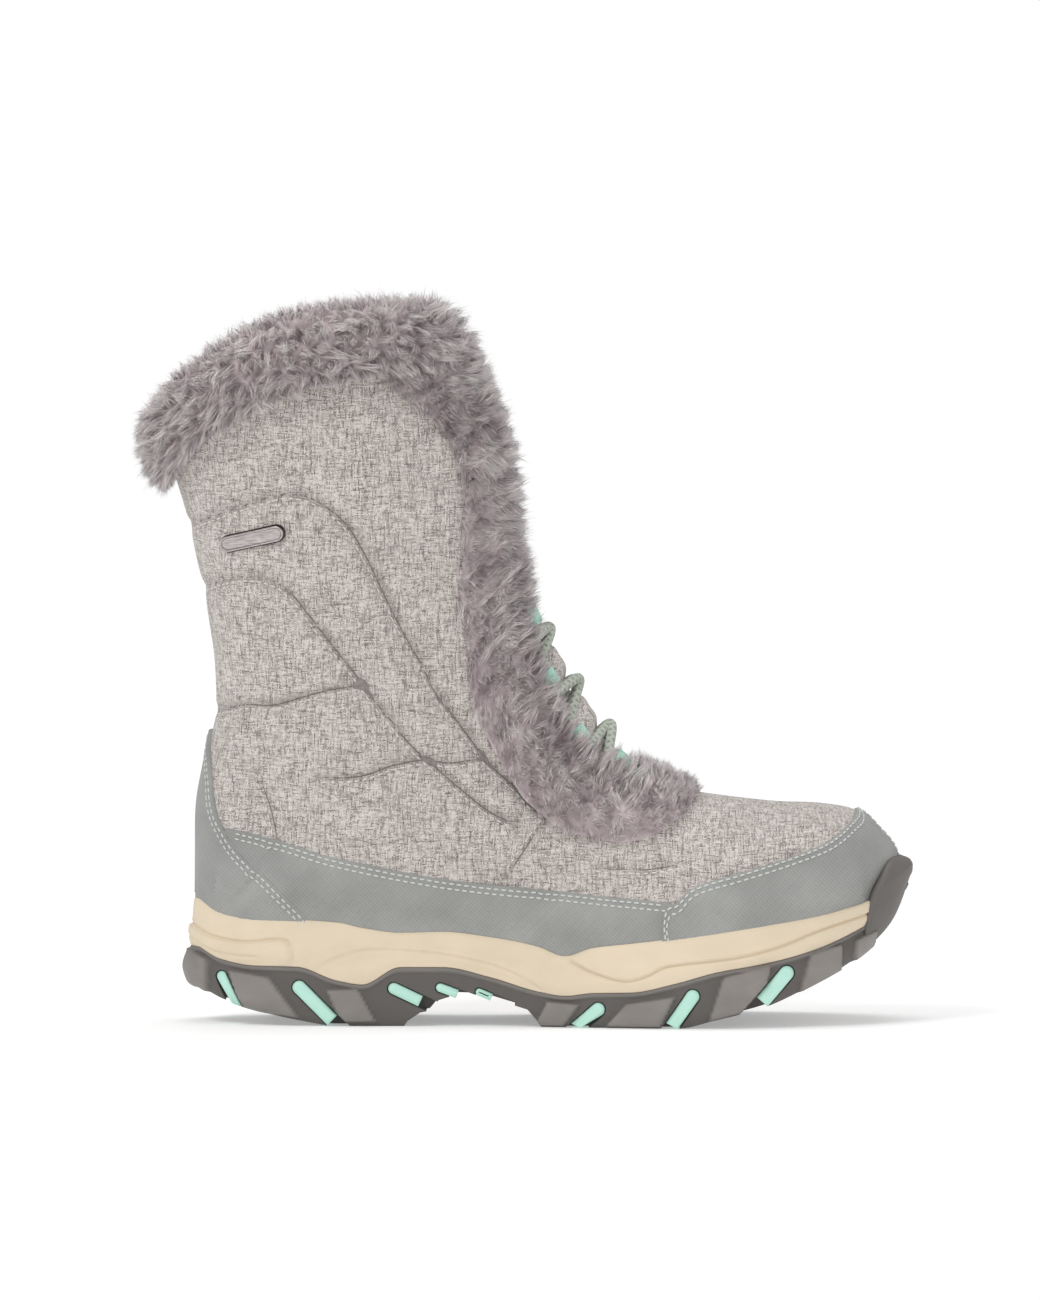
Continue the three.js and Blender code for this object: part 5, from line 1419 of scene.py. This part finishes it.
def make_bumper():
    """The rubber that turns up over the toe, as a shell whose side edges follow the bumper's line."""
    line = resampled(sole_side(BUMPER_LINE), 1.0)
    count, levels = ((150, 40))
    shares = np.linspace(0, 1, levels)
    top_z = line[-1, 1]
    out_at = curve([0.0, 0.15, 0.4, 0.62, 0.8, 0.93, 1.0], [-1.2, 0.6, 1.6, 1.7, 1.0, -0.4, -2.6])
    rings = []
    for share in shares:
        def height(x):
            return mix(floor_at(x) + 1.5, top_z, share)

        edge_x = float(np.interp(height(along_foot(0.96)), line[:, 1], line[:, 0]))
        ends = []
        for side in (-1, 1):
            rows = np.linspace(10, TOE, 1200)
            x, _ = offset_outline(side, rows, mix(LIP, BUMPER, smooth(rows, 12, TOE)) + float(out_at(share)))
            ends.append(float(np.interp(edge_x, np.maximum.accumulate(x), rows)))
        t = np.linspace(-1, 1, count)
        rows = np.where(t < 0, mix(TOE, ends[0], -t), mix(TOE, ends[1], t))
        p = np.where(t[:, None] < 0,
                     sole_at(-1, rows, float(out_at(share)), height),
                     sole_at(1, rows, float(out_at(share)), height))
        rim = 1.2 * (1 - np.sqrt(np.clip(1 - (1 - np.minimum(1, (1 - np.abs(t)) / 0.05)) ** 2, 0, 1)))
        p[:, 0] -= rim * 0.8
        rings.append(p)
    outer = np.concatenate(rings)
    inner = outer.copy()
    middle = np.array([along_foot(0.9), 0.0])
    inward = middle[None, :] - inner[:, :2]
    inner[:, :2] += unit(inward) * 4.2
    faces = grid_faces(levels, count)
    n = len(outer)
    grid = np.arange(n).reshape(levels, count)
    loop = np.concatenate([grid[0, :-1], grid[:-1, -1], grid[-1, :0:-1], grid[:0:-1, 0]])
    k = np.arange(len(loop))
    rim = np.stack([loop[k], loop[(k + 1) % len(loop)], loop[(k + 1) % len(loop)] + n, loop[k] + n], axis=-1)
    # Painted shade: a tone of 0.2 takes the whole bumper most of the way to the recess shade colour.
    obj = piece_of("rubber_bumper", np.concatenate([outer, inner]), [faces, faces[:, ::-1] + n, rim], RUBBER,
                   tone=np.full(2 * n, 0.2))
    edit_mesh(obj, OUTWARD)
    return obj


def make_lugs():
    """Mint bars in the slots, rounded on their faces, their outer ends following the rubber's side."""
    for i, lug in enumerate(LUGS):
        for side, word in ((-1, "outer"), (1, "inner")):
            rings = []
            for inset, depth in ((0.0, 16.0), (0.0, 2.2), (0.12, 1.5), (0.45, 0.95), (0.95, 0.62),
                                 (1.6, 0.5)):
                outline = slot_outline(lug, -inset, 0.9, 14)
                x = outline[:, 0]
                heelward = 1 - smooth(x, 6, 60)
                edge = outline_beside(side, x) + side * (LIP + 0.6 + HEEL_FLARE * 0.7 * heelward - depth)
                z = np.maximum(outline[:, 1], floor_at(x) + 0.2)
                rings.append(np.stack([x, edge, z], axis=-1))
            n = len(rings[0])
            faces = grid_faces(len(rings), n, closed=True)
            cap = [np.arange(n)[None, :] + n * (len(rings) - 1), np.arange(n)[None, ::-1]]
            bar = piece_of(f"lug_{word}_{i + 1}", np.concatenate(rings), [faces, *cap], MINT)
            edit_mesh(bar, OUTWARD)
            show_as(bar, [f"tread_lug_{word}_{i + 1}"])


rubber = make_rubber()
bumper = make_bumper()
show_as(rubber, ["outsole"])
show_as(bumper, [])
make_lugs()


# Tongue
# A padded gusset between the throat's edges, pushed out in cushions between the crossings of the lace.
TONGUE_TUCK = 0.055
tongue_rise = curve([6.9, 7.9, 8.8, 12, 14, 24], [0.0, 0.0, 4.8, 4.6, -1.5, -1.5])
LOOPS = np.array([(8.4, 0.13), (9.55, 0.18), (10.9, 0.165), (12.35, 0.105), (15.4, 0.064), (19.4, 0.064)])


def tongue_face(section, around):
    edge = np.maximum(throat_edge(section), 1e-4)
    bare = 1 - smooth(np.abs(around) / edge, 0.45, 0.96)
    return -WALL + 0.1 + tongue_rise(section) * bare


# Where the padding swells: section, half length in sections, height
CUSHIONS = [(8.2, 0.4, 2.2), (9.58, 0.42, 3.6), (10.88, 0.46, 3.8), (12.6, 0.72, 3.2)]


def cushions(section, around):
    """How far the padding swells between the crossings, and sinks where the cord holds it down."""
    out = np.zeros(np.shape(section))
    for middle, wide, high in CUSHIONS:
        out = np.maximum(out, high * np.exp(-(((section - middle) / wide) ** 4)))
    edge = np.maximum(throat_edge(section), 1e-4)
    return (out - 0.9) * (1 - smooth(np.abs(around) / edge, 0.5, 0.98)) * smooth(section, 7.5, 8.0)


def make_tongue():
    rows, columns = ((190, 52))
    section = np.linspace(6.9, 23.6, rows)[:, None]
    k = np.linspace(-1, 1, columns)[None, :]
    reach = np.where(section < THROAT_TIP, 0.0, throat_edge(section)) + TONGUE_TUCK
    around = k * reach
    section = section + 0 * around
    face = tongue_face(section, around)
    face = face + np.where(section < 13.2, cushions(section, around), 0.0)
    wrinkle = 0.35 * np.sin(section * 9.0 + 2.2 * np.sin(around * 22.0)) * smooth(section, 8, 9)
    face = face + np.where(np.abs(k) < 0.85, wrinkle * 0.6, 0.0)
    back = np.minimum(-WALL, face) - 4.2
    rim = np.sqrt(np.clip(1 - np.abs(k) ** 6, 0, 1))
    middle = (face + back) / 2
    p0 = skin(section, around, middle + (face - middle) * rim)
    p1 = skin(section, around, middle + (back - middle) * rim)
    n = rows * columns
    quads = grid_faces(rows, columns)
    grid = np.arange(n).reshape(rows, columns)
    ends = []
    for line in (grid[0], grid[-1]):
        ends.append(np.stack([line[:-1], line[1:], line[1:] + n, line[:-1] + n], axis=-1))
    points = np.concatenate([p0.reshape(-1, 3), p1.reshape(-1, 3)])
    faces = [quads, quads[:, ::-1] + n, ends[0][:, ::-1], ends[1]]
    tongue = piece_of("padded_tongue", points, faces, FABRIC)
    weld(tongue, 0.00001)
    show_as(tongue, ["tongue"])


make_tongue()


# Lacing
# A round braided cord runs in two strands through webbing loops on the throat's edge and crosses between.
LOOP_WIDTH = 6.0
LOOP_WEBBING = 0.9
LOOP_HEIGHT = LACE + 2 * (1.2 + LOOP_WEBBING)
STRAIGHT = 0.95


def loop_out(section, around):
    return tongue_face(section, around) + 0.5 + LOOP_HEIGHT / 2


def up_along(section, around, up):
    rate = np.linalg.norm(form(section + 0.5, around) - form(section - 0.5, around))
    return section + up / rate


def lace_point(section, around, up=0.0):
    s = np.array(float(section))
    a = np.array(float(around))
    return skin(s, a, tongue_face(s, a) + 0.8 + LACE / 2 + up)


def cord_material():
    material, tree, shader = new_material("braided_cord", 0.85, **{"Sheen_Weight": 0.2})
    shader.inputs["Specular IOR Level"].default_value = 0.2
    uv = uv_of(tree)
    u = maths(tree, "MULTIPLY", uv[0], 2 * math.pi * 3)
    v = maths(tree, "MULTIPLY", uv[1], 3.4)
    a = maths(tree, "SINE", maths(tree, "ADD", u, v))
    b = maths(tree, "SINE", maths(tree, "SUBTRACT", u, v))
    height = maths(tree, "MULTIPLY", maths(tree, "MAXIMUM", a, b), 0.5)
    height = maths(tree, "ADD", height, 0.5)
    # Painted shade: the cord's colour darkens with the braid's height, deepest between the strands.
    colour = ramp(tree, height, [(0.1, linear(138, 144, 132)), (0.6, linear(166, 172, 159)),
                                 (1.0, linear(184, 189, 177))])
    tree.links.new(colour, shader.inputs["Base Color"])
    bump(tree, shader, height, 0.0003)
    return material


def make_lace():
    material = cord_material()
    points, uvs, faces, start = [], [], [], 0
    for s in (-1, 1):
        path = [lace_point(LOOPS[0, 0] - 0.55, 0.0)]
        for i, (section, around) in enumerate(LOOPS):
            here = -s if i % 2 else s
            a = here * around
            for up in (-STRAIGHT * LOOP_WIDTH, 0.0, STRAIGHT * LOOP_WIDTH):
                at = up_along(section, a, up)
                path.append(skin(np.array(at), np.array(a), loop_out(section, a)))
            if i + 1 < len(LOOPS):
                lift = 1.8 if s < 0 else 0.8
                path.append(lace_point((section + LOOPS[i + 1, 0]) / 2, 0.0, lift))
        stations = np.linspace(0, len(path) - 1, (len(path) - 1) * 12 + 1)
        p, uv, f = tube(rounded(path, stations), LACE / 2, 16)
        points.append(p)
        uvs.append(uv)
        faces.append(f + start)
        start += len(p)
    cord = piece_of("lace_cord", np.concatenate(points), np.concatenate(faces), material,
                    uv=np.concatenate(uvs))
    show_as(cord, ["lace"])


def webbing_material():
    material, tree, shader = new_material("loop_webbing", 0.75, **{"Sheen_Weight": 0.2})
    uv = uv_of(tree)
    a = maths(tree, "SINE", maths(tree, "MULTIPLY", uv[0], math.pi * 2.2))
    b = maths(tree, "SINE", maths(tree, "MULTIPLY", uv[1], math.pi * 1.6))
    height = maths(tree, "MULTIPLY_ADD", maths(tree, "MULTIPLY", a, b), 0.5, 0.5)
    # Painted shade: the webbing's colour darkens in the weave's low cells.
    colour = ramp(tree, height, [(0.1, linear(150, 206, 188)), (0.6, linear(190, 234, 219))])
    tree.links.new(colour, shader.inputs["Base Color"])
    bump(tree, shader, height, 0.00025)
    return material


def frame_at(section, around, out):
    s, a = np.array(float(section)), np.array(float(around))
    at = skin(s, a, np.array(float(out)))
    up = unit(skin(s + 0.1, a, np.array(float(out))) - at)
    normal = unit(skin(s, a, np.array(float(out) + 1)) - at)
    across = unit(np.cross(up, normal))
    return at, across, normal, np.cross(across, normal)


def make_loops():
    material = webbing_material()
    half = LOOP_HEIGHT / 2 - LOOP_WEBBING / 2
    for i, (section, around) in enumerate(LOOPS):
        for s, word in ((-1, "outer"), (1, "inner")):
            at, across, normal, up = frame_at(section, s * around, loop_out(section, s * around))
            turn = np.linspace(-0.5 * math.pi, 1.42 * math.pi, 34)
            centre = [(s * (half + 5.4 - 1.1 * k), -half + 0.15) for k in range(5)]
            centre += [(-s * half * math.cos(t), half * math.sin(t)) for t in turn[1:]]
            centre = np.array(centre)
            tangent = unit(np.gradient(centre, axis=0))
            side = np.stack([-tangent[:, 1], tangent[:, 0]], axis=-1)
            thick, wide = LOOP_WEBBING / 2, LOOP_WIDTH / 2
            outline = [(-thick, -wide * 0.93), (0, -wide), (thick, -wide * 0.93), (thick, wide * 0.93), (0, wide),
                       (-thick, wide * 0.93)]
            points = []
            for t, w in outline:
                flat = centre + side * t
                points.append(at + across * flat[:, :1] + normal * flat[:, 1:] + up * w)
            points = np.stack(points, axis=1)
            rows, columns = points.shape[:2]
            uv = np.stack(np.meshgrid([q[1] for q in outline], run_of(centre)), axis=-1).reshape(-1, 2)
            faces = [grid_faces(rows, columns, closed=True), np.arange(columns)[None, ::-1],
                     np.arange(columns)[None, :] + (rows - 1) * columns]
            loop = piece_of(f"webbing_{word}_{i + 1}", points.reshape(-1, 3), faces, material, uv=uv)
            show_as(loop, [f"lace_loop_{word}_{i + 1}"])


make_lace()
make_loops()


# Badge
# A bare rounded plate of worn metal, bent to the shaft, with a raised rim round a sunk field; its side wall and
# inner groove are painted dark as shade.
BADGE_LENGTH = 23.4
BADGE_HEIGHT = 6.0
BADGE_PLACE = (0.082, 0.609)


def make_badge():
    centre = side_points([BADGE_PLACE])[0]
    tilt = math.radians(13)
    corner = BADGE_HEIGHT / 2
    angle = np.linspace(0, 2 * math.pi, 96, endpoint=False)
    rings = []
    proud = None
    levels = [(-0.35, -0.6), (-0.35, 0.5), (0.0, 0.55), (0.0, 1.2), (0.12, 1.5), (0.35, 1.65), (0.6, 1.6),
              (0.8, 1.35), (1.1, 1.3), (1.8, 1.4), (2.5, 1.45)]
    for inset, out in levels:
        r = corner - inset
        a = np.cos(angle) * r + np.sign(np.cos(angle)) * (BADGE_LENGTH / 2 - corner)
        b = np.sin(angle) * r
        x = centre[0] + a * math.cos(tilt) - b * math.sin(tilt)
        z = centre[1] + a * math.sin(tilt) + b * math.cos(tilt)
        section, around = place_of(np.stack([x, z], axis=-1), -1)
        if proud is None:
            proud = float(np.max(outside(form(section, around), section, around)))
        rings.append(skin(section, around, np.full(len(angle), out + proud)))
    n = len(angle)
    last = n * (len(rings) - 1)
    k = np.arange(1, n // 2 - 1)
    across = np.stack([k, k + 1, n - k - 1, n - k], axis=-1) + last
    tips = np.array([[0, 1, n - 1], [n // 2 - 1, n // 2, n // 2 + 1]]) + last
    faces = [grid_faces(len(rings), n, closed=True), across, tips]
    material, tree, shader = new_material("badge_metal", 0.42, 1.0)
    u, v = facing(tree)
    worn = noise(tree, u, v, 0.25, 1.6, 3.0, 0.6)
    face = ramp(tree, worn, [(0.3, linear(158, 151, 150)), (0.7, linear(216, 209, 207))])
    # Painted shade: the mesh's tone darkens the plate's side wall and the groove inside its rim.
    rim = add(tree, "ShaderNodeAttribute", attribute_name="tone").outputs["Fac"]
    tree.links.new(add(tree, "ShaderNodeMix", {"Factor": rim, "A": face, "B": linear(70, 66, 66)},
                       data_type="RGBA").outputs["Result"], shader.inputs["Base Color"])
    bump(tree, shader, worn, 0.00006)
    dark = np.repeat([1.0 if inset < 0.1 else 0.0 if inset != 0.8 else 0.8 for inset, _ in levels], n)
    plate = piece_of("badge", np.concatenate(rings), faces, material, tone=dark)
    show_as(plate, ["badge_plate"])


make_badge()


# Pile
# Deep soft pile: a felted base under many fine hairs that lean and gather in small clumps.
COLLAR_FRONT = 0.07
TRIM_JOINT = 20.4
TRIM_TOP = 23.7
PILE = 7.5
OVER_LACES = 3.1
TUFT = 5.0
TUFT_SHADE = 0.16
COLLAR_RUN = 330
HOOK_RUN = 85
TRIM_ACROSS = 22
HAIR_WIDTH = 0.28
collar_table = np.linspace(-1, 1, 401)
collar_sections = on_collar(collar_table)


def collar_point(around, out, up):
    """A point beside the collar's edge: out from the shaft's face and up from the edge."""
    a = np.clip(around, -1, 1)
    section = np.interp(a, collar_table, collar_sections)
    rate = np.linalg.norm(form(section, a) - form(section - 1, a), axis=-1)
    section = np.clip(section + up / rate, 0, LAST_SECTION)
    turn_in = smooth(np.abs(a), 0.22, 0.36)
    depth = np.where(out < -WALL, mix(0.2 - WALL, out, turn_in), out)
    return skin(section, a, depth)


# The pile's outline over the collar's edge: out from the face, up from the edge
HOOK = np.array([(0.0, -22.0), (4.6, -22.4), (9.0, -15.8), (9.45, -6.6), (7.2, 3.15), (1.8, 7.65), (-4.8, 7.2),
                 (-8.4, 1.8), (-8.4, -11.9), (-5.7, -17.0), (-3.0, -17.0)])
hook_line = resampled(HOOK, 0.5)


def hook_at(share):
    """A place on the hook's outline and its outward direction, by its share of the way round."""
    at = np.asarray(share, float) * (len(hook_line) - 1)
    index = np.arange(len(hook_line))
    way = looked_up(at, index, np.gradient(hook_line, axis=0))
    return looked_up(at, index, hook_line), unit(np.stack([way[:, 1], -way[:, 0]], axis=-1))


def pile_material():
    material, tree, shader = new_material("pile", 0.9, **{"Sheen_Weight": 0.4, "Sheen_Roughness": 0.4})
    shader.inputs["Specular IOR Level"].default_value = 0.12
    # The pile's tone is painted light and shade: darker at the roots, in low lumps and at the tufts' edges, with
    # random blotches too.
    tone = add(tree, "ShaderNodeAttribute", attribute_name="tone").outputs["Fac"]
    colour = ramp(tree, tone, [(0.0, linear(154, 138, 141)), (0.35, linear(200, 186, 188)),
                               (0.7, linear(230, 218, 218)), (1.0, linear(247, 241, 239))])
    tree.links.new(colour, shader.inputs["Base Color"])
    surface = add(tree, "ShaderNodeNewGeometry")
    facing_back = maths(tree, "MULTIPLY_ADD", surface.outputs["Backfacing"], -2.0, 1.0)
    outward = add(tree, "ShaderNodeVectorMath", {0: surface.outputs["Normal"], "Scale": facing_back},
                  operation="SCALE").outputs["Vector"]
    tree.links.new(outward, shader.inputs["Normal"])
    return material


PILE_MATERIAL = pile_material()


def hairs(name, roots, ways, leans, normals, length, seed, tone):
    """Joined ribbons from roots along ways, three stations and a tip each, curling towards the lean."""
    rng = np.random.default_rng(seed)
    n = len(roots)
    t = np.array([0.0, 0.4, 0.75, 1.0])
    L = length[:, None, None]
    path = roots[:, None, :] + L * (ways[:, None, :] * t[None, :, None]
                                    + leans[:, None, :] * (t**2)[None, :, None] * 0.6)
    spin = unit(rng.normal(size=(n, 3)))
    tangent = unit(path[:, 3] - path[:, 0])
    across = unit(np.cross(tangent, spin))
    widths = np.array([1.0, 0.85, 0.55]) * HAIR_WIDTH / 2
    left = path[:, :3] - across[:, None, :] * widths[None, :, None]
    right = path[:, :3] + across[:, None, :] * widths[None, :, None]
    points = np.concatenate([left, right, path[:, 3:]], axis=1)
    base = (np.arange(n) * 7)[:, None]
    quads = np.concatenate([base + np.array([0, 3, 4, 1]), base + np.array([1, 4, 5, 2])])
    tips = base + np.array([2, 5, 6])
    # Painted shade at the roots: each hair's tone lightens towards its tip.
    shade = np.clip(tone[:, None] + np.array([0.0, 0.16, 0.36, 0.0, 0.16, 0.36, 0.5])[None, :], 0, 1)
    obj = piece_of(name, points.reshape(-1, 3), [quads, tips], PILE_MATERIAL, tone=shade.ravel())
    soft = unit(normals + 0.25 * leans + 0.16 * rng.normal(size=(n, 3)))
    obj.data.normals_split_custom_set_from_vertices(np.repeat(soft, 7, axis=0))
    return obj


def lumps(u, v, seed):
    """How high the pile stands in soft clumps, at places of a sheet in millimetres."""
    rng = np.random.default_rng(seed)
    height = np.zeros(np.shape(u))
    for scale, weight in ((14.0, 0.5), (7.0, 0.6), (3.6, 0.55)):
        for _ in range(4):
            angle = rng.uniform(0, 2 * math.pi)
            phase = rng.uniform(0, 2 * math.pi)
            c, s = math.cos(angle) * 2 * math.pi / scale, math.sin(angle) * 2 * math.pi / scale
            wave = c * u + s * v + phase + 0.8 * np.sin(0.13 * u + 0.11 * v + phase)
            height += weight * 0.25 * np.sin(wave)
    return height


def tufts(u, v, size, seed):
    """The small tuft that each place belongs to: the way to its middle, its own lean and its own shade."""
    rng = np.random.default_rng(seed)
    cells = 256
    jitter = rng.uniform(0.1, 0.9, (cells, cells, 2))
    own = rng.normal(size=(cells, cells, 3))
    cu, cv = np.floor(u / size).astype(int), np.floor(v / size).astype(int)
    best = np.full(u.shape, 1e9)
    result = np.zeros((5, *u.shape))
    for i in (-1, 0, 1):
        for j in (-1, 0, 1):
            a, b = (cu + i) % cells, (cv + j) % cells
            du = (cu + i + jitter[a, b, 0]) * size - u
            dv = (cv + j + jitter[a, b, 1]) * size - v
            far = np.hypot(du, dv)
            nearer = far < best
            best = np.where(nearer, far, best)
            found = np.stack([du, dv, own[a, b, 0], own[a, b, 1], own[a, b, 2]])
            result = np.where(nearer, found, result)
    return result


def faced(points, faces, outward):
    """The faces turned so that on the whole they look the outward way given at each point."""
    corners = points[faces[:, :3]]
    normals = np.cross(corners[:, 1] - corners[:, 0], corners[:, 2] - corners[:, 0])
    agree = np.sum(normals * outward[faces[:, 0]])
    return faces if agree > 0 else faces[:, ::-1]


def make_collar_pile():
    rows, columns = 40, 300
    share = np.linspace(0, 1, rows)
    place, outward = hook_at(share)
    side_turn = np.linspace(COLLAR_FRONT, 2 - COLLAR_FRONT, columns)
    around = np.where(side_turn < 1, side_turn, side_turn - 2)
    around = np.where(np.abs(around) > 0.9999, np.sign(around) * 0.9999, around)
    s, a = np.meshgrid(np.arange(rows), around, indexing="ij")
    run = np.interp(side_turn, [COLLAR_FRONT, 2 - COLLAR_FRONT], [0, COLLAR_RUN])
    height = lumps(np.broadcast_to(run, s.shape), share[:, None] * HOOK_RUN + 0 * s, 5)
    shrink = 2.4 - 1.0 * height
    out = place[s.astype(int), 0] - outward[s.astype(int), 0] * shrink
    up = place[s.astype(int), 1] - outward[s.astype(int), 1] * shrink
    points = collar_point(a, out, up).reshape(-1, 3)
    proud = collar_point(a, out + outward[s.astype(int), 0], up + outward[s.astype(int), 1]).reshape(-1, 3)
    faces = faced(points, grid_faces(rows, columns), proud - points)
    ends = [np.arange(rows)[None, :] * columns, np.arange(rows)[None, ::-1] * columns + columns - 1]
    # The felt's tone paints shade in its low lumps.
    felt = piece_of("collar_felt", points, [faces] + ends, PILE_MATERIAL,
                    tone=np.clip(0.3 + 0.25 * height.ravel(), 0, 1))
    show_as(felt, ["collar_trim"])
    zones = [("collar_pile_outside", 0.0, 0.42, 31500), ("collar_pile_inside", 0.42, 0.98, 17000)]
    for number, (name, low, high, count) in enumerate(zones):
        count = count
        rng = np.random.default_rng(40 + number)
        share = rng.uniform(low, high, count)
        turn = rng.uniform(COLLAR_FRONT + 0.005, 2 - COLLAR_FRONT - 0.005, count)
        hair_piece(name, share, turn, rng)


def hair_piece(name, share, turn, rng):
    count = len(share)
    around = np.where(turn < 1, turn, turn - 2)
    place, outward = hook_at(share)
    run = np.interp(turn, [COLLAR_FRONT, 2 - COLLAR_FRONT], [0, COLLAR_RUN])
    height = lumps(run, share * HOOK_RUN, 5)
    to_run, to_up, own_run, own_up, own_tone = tufts(run, share * HOOK_RUN, TUFT, 6)
    root = collar_point(around, place[:, 0] - outward[:, 0] * 2.7, place[:, 1] - outward[:, 1] * 2.7)
    tip = collar_point(around, place[:, 0] + outward[:, 0] * 2, place[:, 1] + outward[:, 1] * 2)
    beside = collar_point(np.clip(around + 0.004, -1, 1), place[:, 0], place[:, 1])
    here = collar_point(np.clip(around - 0.004, -1, 1), place[:, 0], place[:, 1])
    onward, _ = hook_at(np.minimum(1, share + 0.01))
    over = collar_point(around, onward[:, 0], onward[:, 1])
    way = unit(tip - root)
    side = unit(beside - here)
    up = unit(over - collar_point(around, place[:, 0], place[:, 1]))
    lean = side * (0.18 * to_run + 0.34 * own_run)[:, None] + up * (0.18 * to_up + 0.3 * own_up)[:, None]
    hem = smooth(share, 0.0, 0.12)
    lean[:, 2] -= np.where(share < 0.42, 0.24, 0.15) * hem
    past_end = 1 - smooth(run, 0, 7) - (1 - smooth(COLLAR_RUN - run, 0, 7))
    lean = lean - side * (2.2 * past_end)[:, None]
    normal = unit(way - 0.2 * (side * to_run[:, None] + up * to_up[:, None]))
    way = unit(way + 0.1 * rng.normal(size=(count, 3)) + 0.3 * lean)
    lean = lean + 0.2 * rng.normal(size=(count, 3))
    length = (5.4 + 1.4 * height + 0.7 * rng.normal(size=count)) * mix(0.3, 1.0, hem)
    blotch = lumps(run * 0.5, share * 42, 14)
    # Painted light and shade: lighter on high lumps, darker at each tuft's edge, with random blotches and each
    # tuft's own tone.
    tone = 0.42 + 0.22 * height + 0.3 * blotch + 0.05 * own_tone + 0.04 * rng.normal(size=count)
    tone -= TUFT_SHADE * np.hypot(to_run, to_up) / TUFT
    hair = hairs(name, root, way, lean, normal, length, count, tone)
    show_as(hair, [])


make_collar_pile()


# The trim round the vamp: section and place around at its inner edge, then at its outer edge
VAMP_TRIM = [(8.4, 0.15, 8.0, 0.325), (8.0, 0.095, 7.3, 0.275), (7.75, 0.05, 6.75, 0.18),
             (7.62, 0.0, 6.5, 0.0)]


def trim_rows(sections):
    return [(s, float(trim_inner(s)), s, float(trim_outer(s))) for s in sections]


def trim_path():
    half = np.array(trim_rows([TRIM_JOINT, 19, 17.5, 16, 15, 14, 13, 12, 11, 10, 9]) + VAMP_TRIM)
    return np.concatenate([half * np.array([1, -1, 1, -1]), half[:-1][::-1]])


def strip_path(side):
    rows = np.array(trim_rows([TRIM_JOINT + 0.12, 21.2, 21.9, 22.6, TRIM_TOP]))
    rows[:, 3] += np.array([0.0, 0.0, 0.02, 0.06, 0.14])
    rows[:, 1] *= side
    rows[:, 3] *= side
    return rows


def trim_point(path, station, share, lift):
    """A point over the trim: along its path, across from inner to outer edge, and above its underside."""
    index = np.arange(len(path))
    row = [np.interp(station, index, path[:, k]) for k in range(4)]
    section = mix(row[0], row[2], share)
    around = mix(row[1], row[3], share)
    open_here = 1 - smooth(np.abs(around) - throat_edge(section), 0, 0.03)
    bottom = mix(0.1, OVER_LACES, np.where(section > 8.2, open_here, 0.0))
    return skin(section, around, bottom + lift)


def pile_shape(share):
    return np.sin(math.pi * np.clip(share, 0.04, 0.96)) ** 0.55


def trim_length(path):
    at = np.linspace(0, len(path) - 1, 300)
    middle = trim_point(path, at, np.full(300, 0.5), np.zeros(300))
    return at, run_of(middle)


def make_trim(name, node, path, count, seed):
    at, run = trim_length(path)
    rows = max(30, int(run[-1] / 1.2))
    station = np.interp(np.linspace(0, run[-1], rows), run, at)
    share = np.linspace(0, 1, 22)
    k, q = np.meshgrid(station, share, indexing="ij")
    along = np.interp(k, at, run)
    height = lumps(along, q * TRIM_ACROSS, seed)
    lift = 0.4 + (PILE - 4.0) * pile_shape(q) + 0.7 * height
    lift = lift * np.where((q < 0.001) | (q > 0.999), 0.0, 1.0)
    points = trim_point(path, k, q, lift).reshape(-1, 3)
    proud = trim_point(path, k, q, lift + 1).reshape(-1, 3)
    faces = faced(points, grid_faces(rows, 22), proud - points)
    # The felt's tone paints shade in its low lumps.
    felt = piece_of(name + "_felt", points, faces, PILE_MATERIAL,
                    tone=np.clip(0.3 + 0.25 * height.ravel(), 0, 1))
    show_as(felt, [node] if node else [])
    rng = np.random.default_rng(seed)
    count = count
    along = rng.uniform(0, run[-1], count)
    station = np.interp(along, run, at)
    share = rng.uniform(0.0, 1.0, count)
    height = lumps(along, share * TRIM_ACROSS, seed)
    to_run, to_across, own_run, own_across, own_tone = tufts(along, share * TRIM_ACROSS, TUFT, seed)
    base = 0.3 + (PILE - 4.5) * pile_shape(share)
    root = trim_point(path, station, share, base)
    tip = trim_point(path, station, share, base + 3)
    outer = trim_point(path, station, share + 0.05, base)
    onward = trim_point(path, station + 0.01, share, base)
    way = unit(tip - root)
    across = unit(outer - root)
    ahead = unit(onward - root)
    splay = np.where(share < 0.5, 2.3, 0.8) * (share - 0.5)
    lean = across * (splay + 0.12 * to_across + 0.3 * own_across)[:, None]
    lean = lean + ahead * (0.12 * to_run + 0.3 * own_run)[:, None]
    lean[:, 2] -= 0.3 * share
    swell = across * (0.9 * (share - 0.5) - 0.2 * to_across)[:, None] - ahead * (0.2 * to_run)[:, None]
    normal = unit(way + swell)
    way = unit(way + 0.1 * rng.normal(size=(count, 3)) + 0.3 * lean)
    lean = lean + 0.2 * rng.normal(size=(count, 3))
    length = 4.9 + 1.2 * height + 0.7 * rng.normal(size=count)
    length = length * np.where(share < 0.4, 1.05, mix(0.5, 1.0, pile_shape(share)))
    blotch = lumps(along * 0.5, share * 11, seed + 9)
    # Painted light and shade: lighter on high lumps, darker at each tuft's edge, with random blotches and each
    # tuft's own tone.
    tone = 0.38 + 0.22 * height + 0.4 * blotch + 0.05 * own_tone + 0.04 * rng.normal(size=count)
    tone -= TUFT_SHADE * np.hypot(to_run, to_across) / TUFT
    hair = hairs(name + "_pile", root, way, lean, normal, length, seed, tone)
    show_as(hair, [])


make_trim("throat_trim", "throat_trim", trim_path(), 30500, 71)
make_trim("collar_strip_outer", None, strip_path(-1), 8000, 72)
make_trim("collar_strip_inner", None, strip_path(1), 8000, 73)
